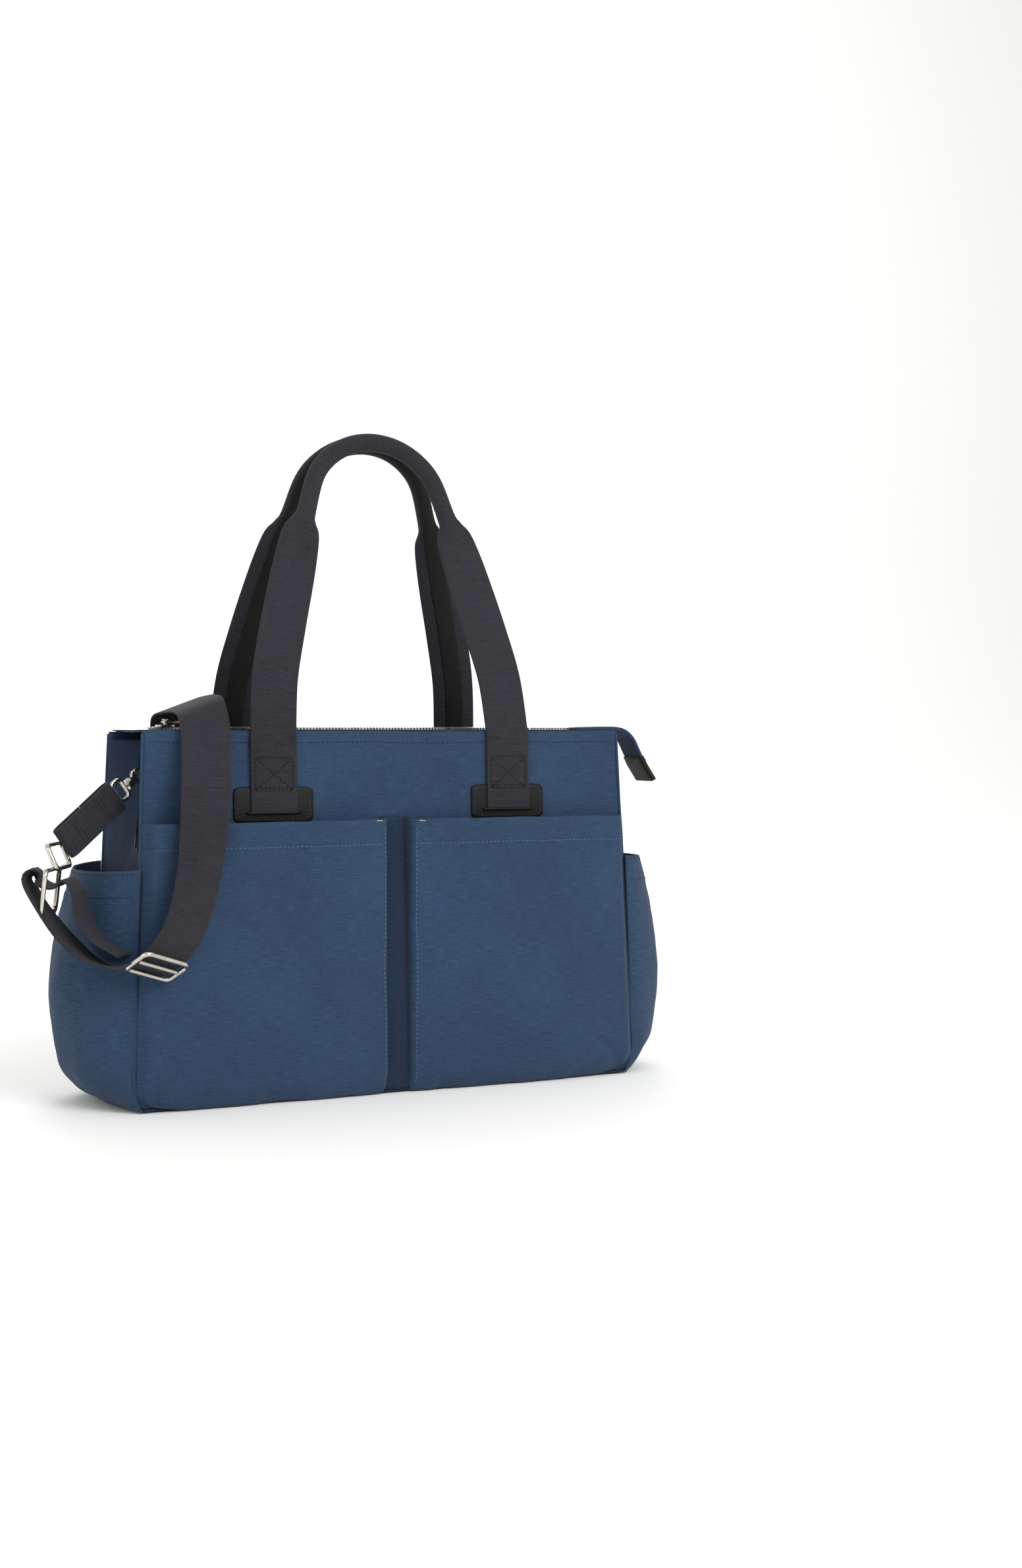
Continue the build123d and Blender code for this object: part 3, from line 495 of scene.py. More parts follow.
def facing_place(face):
    """The turned top edge between a wall and the zip's flap."""

    def place(u, v):
        x = (2 * u - 1) * facing_high.x
        share = v if face < 0 else 1 - v
        outer, inner = -facing_low.y + 0.6, HINGE_Y
        y = face * (outer + (inner - outer) * share)
        round_over = FACING_ROUND * (1 - smooth_step(share * 3))
        return x, y, CLOSURE_TOP - FACING_DROP - round_over + edge_lift(face, x) * 0.5

    return place


for face, word in ((-1, "front"), (1, "back")):
    cloth(f"{word}_facing_cloth", facing_place(face), 90, 8, (2 * facing_high.x, FACING_FLAT), canvas,
          stands_for=[f"{word}_top_facing"], thick=1.2)


def line_on(place, steps, u=None, v=None, start=0.0, end=1.0):
    """A line of points on a cloth at one u or one v."""
    shares = [start + (end - start) * k / steps for k in range(steps + 1)]
    return [place(u, s) if v is None else place(s, v) for s in shares]


top_stitch_v = 1 - 9 / TOP_Z
stitches("top_edge_stitching",
         [line_on(front_wall_place, 120, v=top_stitch_v, start=0.01, end=0.99),
          line_on(back_wall_place, 120, v=top_stitch_v, start=0.01, end=0.99)],
         thread_navy, "navy_canvas", radius=0.45)


# Front pockets: each rises off the wall at its seam, bellies out and folds back at the pleat
POCKET_BELLY = 4.0
POCKET_HEM = 20.0


def front_pocket_place(side):
    """The points of a front pocket's outer side."""

    def place(u, v):
        z = 0.6 + (POCKET_TOP - 0.6) * v
        outer, inner = seam_x(z), PLEAT_HALF - 3.5
        share = 1 - u if side < 0 else u
        x = inner + (outer - inner) * share
        off_seam = smooth_step((outer - x) / 9)
        off_pleat = smooth_step((x - inner) / 3.5)
        rise = (0.15 + 0.85 * off_seam) * (0.1 + 0.9 * off_pleat)
        under = 8.0 * max(0.0, 1 - z / 20) ** 2
        foot = max(0.0, 1 - z / 40) ** 3
        raised = 2.6 * smooth_step(1 - (outer - x) / 45) + abs(crumple(x, 0, 33 + side, 60, 3.0))
        crease = (2.2 * math.exp(-(((outer - x) - 0.9 * z - 5) / 5) ** 2)
                  * smooth_step((46 - z) / 24) * off_seam)
        belly = POCKET_BELLY * math.sin(math.pi * share) * math.sin(math.pi * min(1, 0.15 + v * 0.85)) ** 0.7
        move = crumple(x, z, 21 + side, 72, 3.0) * off_seam * off_pleat
        hem = HEM_PROUD * smooth_step((z - POCKET_TOP + POCKET_HEM) / 1.2)
        gape = 2.2 * smooth_step((v - 0.93) / 0.07) * math.sin(math.pi * share)
        wall = wall_y(-1, z) - 0.2
        y = wall + (POCKET_Y - wall) * rise + under - (belly + move + hem + gape - crease) * rise
        return side * x, y, z + crumple(x, 0, 31 + side, 60, 0.9) * v**6 + raised * foot

    return place


POCKET_SIZE = (BASE_HALF - PLEAT_HALF + 14, POCKET_TOP + 6)
pocket_lines, tack_lines = [], []
for side, word in ((-1, "left"), (1, "right")):
    pocket_place = front_pocket_place(side)
    cloth(f"front_pocket_{word}_cloth", pocket_place, 96, 110, POCKET_SIZE, canvas,
          stands_for=[f"front_pocket_{word}"])
    pocket_lines.append(line_on(pocket_place, 90, v=1 - POCKET_HEM / POCKET_TOP, start=0.04, end=0.96))
    pleat_u = 0.975 if side < 0 else 0.025
    pocket_lines.append(line_on(pocket_place, 60, u=pleat_u, start=0.03, end=0.97))
    tack_u = 0.95 if side < 0 else 0.05
    tack_lines.append(line_on(pocket_place, 4, v=0.994, start=tack_u - 0.012, end=tack_u + 0.012))
stitches("front_pocket_stitching", pocket_lines, thread_blue, "navy_canvas", radius=0.36)
stitches("pocket_bar_tacks", tack_lines, thread_cream, "navy_canvas", pitch=1.0, length=1.6, radius=0.4)


def pleat_place(u, v):
    """The strip at the bottom of the pleat, which sinks a little between the pockets."""
    z = 3 + (POCKET_TOP + 2 - 3) * v
    x = (2 * u - 1) * (PLEAT_HALF - 0.3)
    return x, wall_y(-1, z) - 1.9 - 0.9 * (1 - math.cos(2 * math.pi * u)) / 2, z


# The pleat strip is drawn in the canvas with painted shade, darker than the pockets beside it.
cloth("pleat_cloth", pleat_place, 12, 60, (2 * PLEAT_HALF, POCKET_TOP), canvas_painted_shade,
      stands_for=["front_pleat_strip"])


# Base: one panel under the bag, turned up a little at its edges
def base_place(u, v):
    """The points of the base's underside."""
    x = (2 * u - 1) * (BASE_HALF - CORNER_ROUND)
    y = base_high.y - 4.5 + (base_low.y + 9 - base_high.y + 4.5) * v
    edge = max(abs(2 * u - 1), abs(2 * v - 1))
    return x, y, 0.1 + 1.2 * smooth_step((edge - 0.93) / 0.07)


BASE_SIZE = (2 * BASE_HALF, base_high.y - base_low.y)
# The base is drawn in the canvas with painted shade.
cloth("base_cloth", base_place, 60, 24, BASE_SIZE, canvas_painted_shade, stands_for=["base_panel"])


# Gussets: the middle folds inwards towards the top
FOLD_START_Z = SIDE_MOUTH
FOLD_DEPTH = 45.0
WALL_INSET = 2.2


def fold_depth(z):
    """How far the middle of a gusset is folded in at height z."""
    return 1.5 + (FOLD_DEPTH - 1.5) * max(0.0, (z - FOLD_START_Z) / (GUSSET_TOP - FOLD_START_Z))


def gusset_place(side, inset=0.0, facing=1, top=GUSSET_TOP, low=3.0):
    """The points of a gusset's outer side, or of its lining's inner side where facing is -1."""

    def place(u, v):
        z = low + (top - low) * v
        front, back = wall_y(-1, z) + WALL_INSET + inset, wall_y(1, z) - WALL_INSET - inset
        share = u if side * facing > 0 else 1 - u
        y = front + (back - front) * share
        peak = 1 - abs(2 * share - 1)
        bend = 0.55 * peak + 0.45 * smooth_step(peak)
        depth = fold_depth(z) * bend + crumple(y, z, 40 + side, 34, 1.0) * smooth_step(peak * 4)
        return side * (seam_x(z) - depth - inset), y, z

    return place


GUSSET_SIZE = (BACK_BASE_Y - FRONT_BASE_Y, GUSSET_TOP)
gusset_lines = []
for side, word in ((-1, "left"), (1, "right")):
    # The gussets are drawn in the canvas with painted shade.
    cloth(f"{word}_gusset_cloth", gusset_place(side), 56, 110, GUSSET_SIZE, canvas_painted_shade,
          stands_for=[f"{word}_gusset"])
    gusset_lines.append(line_on(gusset_place(side), 40, v=0.975, start=0.03, end=0.97))
stitches("gusset_top_stitching", gusset_lines, thread_navy, "navy_canvas", radius=0.36)

# Side pockets: they belly out from the gusset and tuck under at the floor
SIDE_PROFILE = [(1.0, 0.0), (0.6, 10.0), (4.0, 19.0), (14.0, 30.0), (36.0, 44.0), (86.0, 53.0), (140.0, 47.0),
                (SIDE_MOUTH, 34.0)]
SIDE_HALF = 63.0
SIDE_HEM = 25.0
side_rows = through(SIDE_PROFILE, 16)


def side_pocket_place(side):
    """The points of a side pocket's outer side."""

    def place(u, v):
        row = v * (len(side_rows) - 1)
        low = min(int(row), len(side_rows) - 2)
        z, bulge = [a + (b - a) * (row - low) for a, b in zip(side_rows[low], side_rows[low + 1])]
        share = u if side > 0 else 1 - u
        turn = (share - 0.5) * math.pi
        middle = math.cos(turn)
        folds = (crumple(share * 120, z, 50 + side, 42, 2.4)
                 + 1.2 * math.sin(9 * turn + z / 30) * (1 - z / SIDE_MOUTH))
        hem = HEM_PROUD * smooth_step((z - SIDE_MOUTH + SIDE_HEM) / 1.2)
        x = seam_x(z) + 0.2 + (bulge + folds + hem) * middle
        y = 1.0 + SIDE_HALF * math.sin(turn)
        dip = 2.5 * math.sin(math.pi * share) * smooth_step((z - 150) / 36)
        return side * x, y, z - dip + 1.2

    return place


SIDE_SIZE = (205.0, SIDE_MOUTH + 34)
side_lines = []
for side, word in ((-1, "left"), (1, "right")):
    place = side_pocket_place(side)
    cloth(f"side_pocket_{word}_cloth", place, 90, 112, SIDE_SIZE, canvas,
          stands_for=[f"side_pocket_{word}"])
    side_lines.append(line_on(place, 80, v=0.925, start=0.04, end=0.96))
    side_lines.append(line_on(place, 80, v=0.985, start=0.04, end=0.96))
stitches("side_pocket_stitching", side_lines, thread_navy, "navy_canvas", radius=0.4)


# Corner seams: a slim turned seam up each corner of the bag
def seam_stations(side, face):
    """A turned seam that follows one corner from the floor to the top."""
    rows = []
    for k in range(15):
        z = 2 + (TOP_Z - 4) * k / 14
        pocket = face < 0 and z < POCKET_TOP
        out = face * ((1.2 - 3 * max(0.0, 1 - z / 20) ** 2) if pocket else 0.2)
        rows.append((side * (seam_x(z) + 0.2), wall_y(face, z) + out, z, 1, 0, 0, 2.2, 2.6, 2.4))
    return rows


for side, word in ((-1, "left"), (1, "right")):
    for face, wall in ((-1, "front"), (1, "back")):
        band(f"{wall}_{word}_corner_seam", seam_stations(side, face), 4, canvas, sides=12, width=2.4)


# Lining
LINING_TOP = box_mm("lining_front")[1].z
LINING_LOW = box_mm("lining_base")[0].z
LINING_DEPTH = 3.3


def lining_wall_place(face):
    """The inner side of a lining panel."""

    def place(u, v):
        z = LINING_LOW + 0.5 + (LINING_TOP - LINING_LOW - 0.5) * v
        x = face * (2 * u - 1) * (seam_x(max(z, CORNER_HIGH)) - 6.5)
        dent = wall_dent(face, x, z)
        return x, wall_y(face, z) - face * (LINING_DEPTH + 0.5 + dent + crumple(x, z, 60 + face, 60, 0.3)), z

    return place


for face, word in ((-1, "front"), (1, "back")):
    cloth(f"{word}_lining_cloth", lining_wall_place(face), 60, 44, WALL_SIZE, lining,
          stands_for=[f"lining_{word}"], thick=LINING_THICK)
for side, word in ((-1, "left"), (1, "right")):
    cloth(f"{word}_lining_cloth", gusset_place(side, 4.2, -1, LINING_TOP, LINING_LOW + 1), 32, 44, GUSSET_SIZE,
          lining, stands_for=[f"lining_{word}"], thick=LINING_THICK)


def floor_lining_place(u, v):
    """The inner side of the lining on the base board."""
    x = (2 * u - 1) * (BASE_HALF - 9.5)
    y = FRONT_BASE_Y + 5 + (BACK_BASE_Y - FRONT_BASE_Y - 10) * v
    return x, y, LINING_LOW + 1 + abs(crumple(x, y, 70, 50, 0.4))


cloth("base_lining_cloth", floor_lining_place, 50, 20, (2 * BASE_HALF - 19, BACK_BASE_Y - FRONT_BASE_Y - 10),
      lining, stands_for=["lining_base"], thick=LINING_THICK)

slip_low, slip_high = box_mm("inner_slip_pocket")


def slip_place(u, v):
    """The inner side of the slip pocket, which leans off the lining at its mouth."""
    z = slip_low.z + (slip_high.z - slip_low.z) * v
    x = -(slip_low.x + (slip_high.x - slip_low.x) * u)
    off = smooth_step((slip_high.x - abs(x)) / 8) * (0.2 + 0.8 * smooth_step(v * 6))
    wall = wall_y(1, z) - LINING_DEPTH - 0.8
    return -x, wall + (slip_low.y - wall) * off, z


cloth("slip_pocket_cloth", slip_place, 50, 24, (slip_high.x - slip_low.x + 12, slip_high.z - slip_low.z + 4),
      lining, stands_for=["inner_slip_pocket"], thick=LINING_THICK)


# Zipped top: a flap of canvas and tape on each side of the teeth
TAPE_WIDE = 12.0
TEETH_OUTER = 3.0


def flap_place(face, inner=TEETH_OUTER, outer=None):
    """The upper side of a flap, from the wall's top edge to the teeth."""
    far = BACK_TOP_Y + 0.2 if outer is None else outer

    def place(u, v):
        x = (2 * u - 1) * FLAP_HALF
        share = v if face < 0 else 1 - v
        out = far + (inner - far) * share
        sag = 1.3 * smooth_step(share * 1.6) + crumple(x, out, 80 + face, 40, 0.3)
        return x, face * out, CLOSURE_TOP - 1.5 - max(0.0, sag) * 0.4

    return place


FLAP_SIZE = (2 * FLAP_HALF, BACK_TOP_Y - TEETH_OUTER)
for face, word in ((-1, "front"), (1, "back")):
    # The flaps are drawn in the canvas with painted shade.
    flap = cloth(f"{word}_flap_cloth", flap_place(face), 90, 24, FLAP_SIZE, canvas_painted_shade,
                 body=None, stands_for=[f"{word}_closure_strip"], thick=1.2)
    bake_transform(flap)

    def tape_place(u, v, side=face):
        x, y, z = flap_place(side, TEETH_OUTER - 1.4, TEETH_OUTER + TAPE_WIDE)(u, v)
        return x, y, CLOSURE_TOP - 1.1 + 0.1 * math.sin(math.pi * v)

    cloth(f"{word}_zip_tape", tape_place, 60, 4, (2 * FLAP_HALF, TAPE_WIDE + 1.4), tape,
          body=f"{word}_flap", thick=0.6)
    inset = [(x, y, z + 0.15) for x, y, z in
             line_on(flap_place(face, TEETH_OUTER + TAPE_WIDE + 2), 100, v=1 if face < 0 else 0)]
    stitches(f"{word}_flap_stitching", [inset], thread_navy, "navy_canvas", body=f"{word}_flap", radius=0.3)

TOOTH_PITCH = 2.8


def teeth(name, start, end, face, body, stands_for=(), head=0.25):
    """A row of stamped teeth, each a small clamped block with a rounded head that far from the middle."""
    points, faces = [], []
    count = int((end - start) / TOOTH_PITCH)
    for n in range(count):
        x = start + (n + (0.25 if face < 0 else 0.75)) * TOOTH_PITCH
        foot = TEETH_OUTER + 0.6
        first = len(points)
        tooth_shape = ((foot, 0.8, 1.2), (1.6, 0.8, 1.55), (head + 0.45, 1.05, 1.55), (head, 0.6, 1.1))
        for y, half_x, half_z in tooth_shape:
            for sx, sz in ((-1, -1), (1, -1), (1, 1), (-1, 1)):
                points.append((x + sx * half_x, face * y, CLOSURE_TOP - 0.5 + sz * half_z))
        for ring in range(3):
            for k in range(4):
                a, b = first + ring * 4 + k, first + ring * 4 + (k + 1) % 4
                faces.append((a, b, b + 4, a + 4) if face < 0 else (b, a, a + 4, b + 4))
        cap = [first + k for k in range(4)]
        tip = [first + 12 + k for k in range(4)]
        faces.append(tuple(reversed(cap)) if face < 0 else tuple(cap))
        faces.append(tuple(tip) if face < 0 else tuple(reversed(tip)))
    made = make_piece(name, points, faces, [(p[0], p[1]) for p in points], teeth_metal, body,
                      stands_for)
    made.data.polygons.foreach_set("use_smooth", [False] * len(made.data.polygons))
    return made


for face, word in ((-1, "front"), (1, "back")):
    teeth(f"{word}_teeth", -FLAP_HALF, FLAP_HALF, face, f"{word}_flap", [f"{word}_zip_teeth"])

# The fixed ends of the zip: cloth on each side of a slot for the slider, with the last teeth parted in it
SLOT_HALF = 2.8
END_HEAD = 0.8
for side, word in ((-1, "left"), (1, "right")):
    end_low, end_high = box_mm(f"zip_end_{word}")
    reach = TOP_HALF - 3

    for face, wall in ((-1, "front"), (1, "back")):

        def end_place(u, v, side=side, face=face, reach=reach):
            inner, outer = FLAP_HALF + 0.6, reach
            x = (inner + (outer - inner) * u) if side > 0 else -(outer + (inner - outer) * u)
            share = v if face > 0 else 1 - v
            y = SLOT_HALF + (BACK_TOP_Y - 0.6 - SLOT_HALF) * share
            outward = smooth_step((abs(x) - inner) / (outer - inner))
            return x, face * y, CLOSURE_TOP - 1.2 - outward * (1 - smooth_step(share * 1.6))

        # The zip ends are drawn in the canvas with painted shade.
        cloth(f"{word}_{wall}_zip_end_cloth", end_place, 20, 20, (reach - FLAP_HALF, BACK_TOP_Y - SLOT_HALF),
              canvas_painted_shade, stands_for=[f"zip_end_{word}"] if face < 0 else (), thick=1.2)
    inner, outer = sorted((side * (FLAP_HALF + 1), side * (abs(end_high.x if side > 0 else end_low.x) - 4)))
    for face, wall in ((-1, "front"), (1, "back")):
        teeth(f"{word}_{wall}_end_teeth", inner, outer, face, "bag", head=END_HEAD)

# The zip's tail: doubled canvas that hangs past the right end, with a leather tip
TAIL_ROUTE = [(190, 294.4), (212, 295.2), (232, 294.6), (243, 288), (250, 276), (254, 268)]
TIP_ROUTE = [(252.6, 270.5), (256.6, 263), (261, 256.5), (265.4, 250)]


def tail_stations(route, wide, thick):
    """Stations across the bag for a strip whose side outline is route."""
    return [(x, 0, z, 0, 1, 0, wide, thick, 6) for x, z in route]


band("zip_tail_cloth", tail_stations(TAIL_ROUTE, 30, 3.4), 8, canvas, stands_for=["zip_tail"], width=30,
     sides=32)
band("zip_tail_tip", tail_stations(TIP_ROUTE, 32, 5.0), 8, brown_leather, stands_for=["zip_tail_tab"],
     width=32, sides=32)
tip_lines = [[(254.2 + 2.2, y, 266.6) for y in (-13, 13)], [(261, y, 256.4) for y in (-13, 13)]]
stitches("zip_tail_stitching",
         [[(x + 2.2, y, z + 1.2) for x, y, z in line] for line in tip_lines], thread_dark,
         "black_leather")

# Handles: one length of webbing that is sewn down flat, rises, and rolls into the grip
PIVOT_Z = 275.4
LEAN_Z = 298.0
HANDLE_TOP = cad_high.z / MM
GRIP_Y = 8.0
GRIP_WIDE = 15.0
GRIP_THICK = 10.5
ANCHOR_LOW = patch_low.z + 8.5
# Distance up the leaning plane, distance from the middle, width, thickness and roundness
LEG = [(38, 98, 38, 1.9, 9), (80, 88.5, 38, 2.0, 8), (118, 78.5, 37, 2.6, 7), (144, 71.5, 34.5, 4.0, 5),
       (160, 67, 30, 6.0, 4), (169, 64.4, 20, 9.0, 3), (177, 61.5, 15.5, 10.4, 2.5)]


def handle_stations(face):
    """The handle's whole route, from one sewn end to the other."""
    off = 1.6 + 0.3 + WEBBING_THICK / 2
    pivot_y = wall_y(face, PIVOT_Z) + face * off
    rise, lean = HANDLE_TOP - LEAN_Z, face * GRIP_Y - pivot_y
    length = math.hypot(rise, lean)
    top, end = length - 6, length - 58
    sag = top - end
    radius = (58**2 + sag**2) / (2 * sag)

    def leaning(x, up, wide, thick, roundness):
        return (x, pivot_y + lean * up / length, LEAN_Z + rise * up / length, 1, 0, 0, wide, thick, roundness)

    leg = [(HANDLE_X, wall_y(face, z) + face * off, z, 1, 0, 0, WEBBING_WIDE, WEBBING_THICK, 12)
           for z in (ANCHOR_LOW, 240, 252, 264, 270, PIVOT_Z, 282, 290)]
    leg += [leaning(x, up, wide, thick, n) for up, x, wide, thick, n in LEG]
    grip = []
    for k in range(1, 8):
        turn = math.asin(58 / radius) * (1 - 2 * k / 8)
        x, up = radius * math.sin(turn), top - radius * (1 - math.cos(turn))
        row = leaning(x, up, GRIP_WIDE, GRIP_THICK, 2.3)
        across = (math.cos(turn + math.pi / 2), lean / length * math.sin(turn + math.pi / 2),
                  rise / length * math.sin(turn + math.pi / 2))
        grip.append(row[:3] + across + row[6:])

    def turned(row, x_sign):
        return (row[0] * x_sign,) + tuple(row[1:])

    first = [turned(row, 1) for row in leg]
    other = [turned(row, -1) for row in reversed(leg)]
    return first, grip, other


def width_directions(rows):
    """The same stations, each with the width direction square to the route in the handle's own plane."""
    made = []
    for i, row in enumerate(rows):
        before, after = Vector(rows[max(i - 1, 0)][:3]), Vector(rows[min(i + 1, len(rows) - 1)][:3])
        run = (after - before).normalized()
        out = Vector((0, -1, 0))
        made.append(tuple(row[:3]) + tuple(run.cross(out).normalized()) + tuple(row[6:]))
    return made


STRIP_WIDE = 16.0
STRIP_LOW = 281.0


def strip_stations(route, face):
    """A narrow leather strip sewn to the handle's inner side, thicker where it wraps the grip."""
    rows = []
    for x, y, z, *across, wide, thick, roundness in route:
        if z > STRIP_LOW:
            rolled = (thick - WEBBING_THICK) / (GRIP_THICK - WEBBING_THICK)
            inward = thick / 2 + 0.35 - 1.3 * rolled
            rows.append((x, y - face * inward, z, *across, min(STRIP_WIDE, 0.74 * wide), 1.0 + 2.0 * rolled,
                         6 - 3.4 * rolled))
    return rows


for face, word in ((-1, "front"), (1, "back")):
    first, grip, other = handle_stations(face)
    route = width_directions(first + grip + other)
    handle, long = band(f"{word}_handle_strap", route, 10, webbing, body=None, sides=32,
                        stands_for=[f"{word}_handle_webbing", f"{word}_handle_anchors", f"{word}_grip_core"])
    y = wall_y(face, PIVOT_Z) * MM
    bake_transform(handle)
    strip, strip_run = band(f"{word}_handle_strip", strip_stations(route, face), 10, leather,
                            body=f"{word}_handle", sides=16, width=STRIP_WIDE)


# Leather patches where the handles go in, and their stitching
def patch_piece(name, face, x_middle, stands_for):
    """A leather patch: a thin pillow with rounded corners and a pressed edge."""
    half_x, half_z = (patch_high.x - patch_low.x) / 2, (patch_high.z - patch_low.z) / 2
    middle_z = (patch_high.z + patch_low.z) / 2
    rings, per = 5, 48
    points, faces = [], []
    outline = []
    for k in range(per):
        turn = 2 * math.pi * (k + 0.5) / per
        c, s = math.cos(turn), math.sin(turn)
        outline.append((math.copysign(abs(c) ** 0.22, c) * half_x, math.copysign(abs(s) ** 0.22, s) * half_z))
    for ring, (inset, out) in enumerate(((0, 0.1), (0.0, 1.1), (0.6, 1.7), (2.2, 1.55), (3.0, 1.75))):
        for x, z in outline:
            px = x * (half_x - inset) / half_x
            pz = z * (half_z - inset) / half_z
            height = middle_z + pz
            points.append((x_middle - face * px, wall_y(face, height) + face * (out + 0.1), height))
    for ring in range(rings - 1):
        for k in range(per):
            n = (k + 1) % per
            faces.append((ring * per + k, ring * per + n, (ring + 1) * per + n, (ring + 1) * per + k))
    faces.append(tuple(range((rings - 1) * per, rings * per)))
    faces.append(tuple(reversed(range(per))))
    made = make_piece(name, points, faces, [(p[0], p[2]) for p in points], leather, "bag",
                      [stands_for])
    line = [(x_middle - face * x * 0.91, wall_y(face, middle_z + z * 0.83) + face * 1.95, middle_z + z * 0.83)
            for x, z in outline]
    return line + line[:1]


def box_stitch(face, x_middle):
    """A sewn square with a cross in it, on the webbing."""
    low, high, half = 246.0, 272.0, 15.5

    def at(x, z):
        return x_middle + x, wall_y(face, z) + face * (1.9 + WEBBING_THICK + 0.05), z

    corners = [at(-half, low), at(half, low), at(half, high), at(-half, high)]
    return [corners + corners[:1], [corners[0], corners[2]], [corners[1], corners[3]],
            [at(-half, low + 2.2), at(half, low + 2.2)]]


patch_lines, box_lines = [], []
for face, word in ((-1, "front"), (1, "back")):
    for side, hand in ((-1, "left"), (1, "right")):
        x = face * side * -HANDLE_X
        patch_lines.append(patch_piece(f"{word}_patch_{hand}_leather", face, x, f"{word}_patch_{hand}"))
        box_lines += box_stitch(face, x)
        lip = [(x + across, wall_y(face, ANCHOR_LOW) + face * out, ANCHOR_LOW - 0.9, 0, 0, 1, high, deep, 2.4)
               for across, out, high, deep in ((-22, 1.8, 1.2, 1.2), (-20, 2.3, 2.6, 3.2), (0, 2.5, 3.0, 3.6),
                                               (20, 2.3, 2.6, 3.2), (22, 1.8, 1.2, 1.2))]
        band(f"{word}_{hand}_slot_lip", lip, 6, leather, sides=12, width=3.0)
stitches("patch_stitching", patch_lines, thread_patch, "black_leather", pitch=3.2, length=2.2, radius=0.42)
stitches("handle_box_stitching", box_lines, thread_dark, "charcoal_webbing", pitch=3.4, length=2.5,
         radius=0.52)

# Shoulder strap. Its route is listed station by station: centre, then width direction.
STRAP_ROUTE = [
    ((218, 26, 238), (-0.3, 0.5, 0.8)),
    ((226, 44, 226), (-0.7, 0.4, 0.6)),
    ((222, 62, 206), (-0.8, 0.2, 0.5)),
    ((206, 76, 176), (-0.9, 0, 0.4)),
    ((188, 82, 140), (-0.9, 0, 0.45)),
    ((160, 84, 102), (-0.7, 0, 0.7)),
    ((116, 84, 72), (-0.45, 0, 0.9)),
    ((60, 84, 56), (-0.2, 0, 1)),
    ((0, 84, 50), (0, 0, 1)),
    ((-60, 84, 56), (0.3, 0, 0.95)),
    ((-108, 84, 78), (0.6, 0, 0.8)),
    ((-134, 83, 112), (0.85, 0, 0.5)),
    ((-145, 80, 158), (0.97, 0, 0.2)),
    ((-148, 74, 212), (1, 0, 0)),
    ((-149, 68, 262), (1, 0, 0.05)),
    ((-151, 60, 296), (0.98, 0, 0.2)),
    ((-153, 46, 311), (0.93, -0.1, 0.33)),
    ((-156, 10, 314), (0.93, -0.1, 0.36)),
    ((-159, -36, 314), (0.92, -0.2, 0.36)),
    ((-161, -58, 308), (0.92, -0.3, 0.33)),
    ((-161, -69, 288), (0.93, -0.34, 0.1)),
    ((-163, -76, 256), (0.97, -0.2, 0)),
    ((-166, -81, 222), (1, 0, 0)),
    ((-172, -87, 186), (0.97, 0.24, -0.08)),
    ((-183, -95, 152), (0.92, 0.36, -0.17)),
    ((-195, -98, 132), (0.87, 0.40, -0.29)),
    ((-207, -92, 119.3), (0.865, 0.402, -0.301)),
    ((-226, -84, 114), (0.75, 0.6, -0.25)),
    ((-249, -72, 120), (0.6, 0.78, -0.15)),
    ((-268, -60, 138), (0.5, 0.86, 0)),
    ((-284, -51, 162), (0.43, 0.9, 0)),
    ((-292, -46, 180), (0.43, 0.9, 0)),
    ((-287, -45, 186), (0.43, 0.9, 0)),
    ((-280, -46, 178), (0.43, 0.9, 0)),
    ((-271, -48, 176), (0.43, 0.9, 0)),
    ((-264, -51, 181), (0.43, 0.9, 0)),
    ((-257, -54, 172), (0.45, 0.9, 0)),
    ((-254, -59, 154), (0.5, 0.86, 0)),
    ((-246, -68, 137), (0.6, 0.78, -0.15)),
    ((-228, -79, 124), (0.75, 0.6, -0.25)),
]


def strap_rows(route, wide, thick):
    """Stations of even width and thickness from a route."""
    return [(*centre, *Vector(across).normalized(), wide, thick, 12) for centre, across in route]


strap, strap_long = band("shoulder_strap", strap_rows(STRAP_ROUTE, WEBBING_WIDE, WEBBING_THICK), 6, webbing,
                         stands_for=["shoulder_strap_webbing"], sides=28)

# Short strap between the hook and the rings: webbing doubled over at both ends
SHORT_WIDE = 26.0
SHORT_ACROSS = Vector((-0.58, -0.2, 0.79)).normalized()
short_top, short_end = Vector((-221, -24, 242.5)), Vector((-265, -46, 208))
short_run = (short_end - short_top).normalized()
short_out = short_run.cross(SHORT_ACROSS).normalized()
SHORT_LOOP = 2.6
short_route = []
for share in (0.5, 0.25, 0.05):
    short_route.append(short_top.lerp(short_end, share) + short_out * SHORT_LOOP)
short_route.append(short_top - short_run * 1.6)
for share in (0.05, 0.25, 0.5, 0.75, 0.95):
    short_route.append(short_top.lerp(short_end, share) - short_out * SHORT_LOOP)
short_route.append(short_end + short_run * 1.6)
for share in (0.95, 0.75, 0.52):
    short_route.append(short_top.lerp(short_end, share) + short_out * SHORT_LOOP)
short_rows = strap_rows([(p, SHORT_ACROSS) for p in short_route], SHORT_WIDE, WEBBING_THICK)
short, short_long = band("short_strap_webbing", short_rows, 6, webbing, stands_for=["short_strap"],
                         width=SHORT_WIDE)
short_lines = []
for share in (0.24, 0.30, 0.72, 0.78):
    middle = short_top.lerp(short_end, share)
    for out in (-1, 1):
        off = short_out * out * (SHORT_LOOP + WEBBING_THICK / 2 + 0.1)
        short_lines.append([middle + off - SHORT_ACROSS * 10.5, middle + off + SHORT_ACROSS * 10.5])
stitches("short_strap_stitching", short_lines, thread_dark, "charcoal_webbing", pitch=2.6, length=1.8,
         radius=0.34)

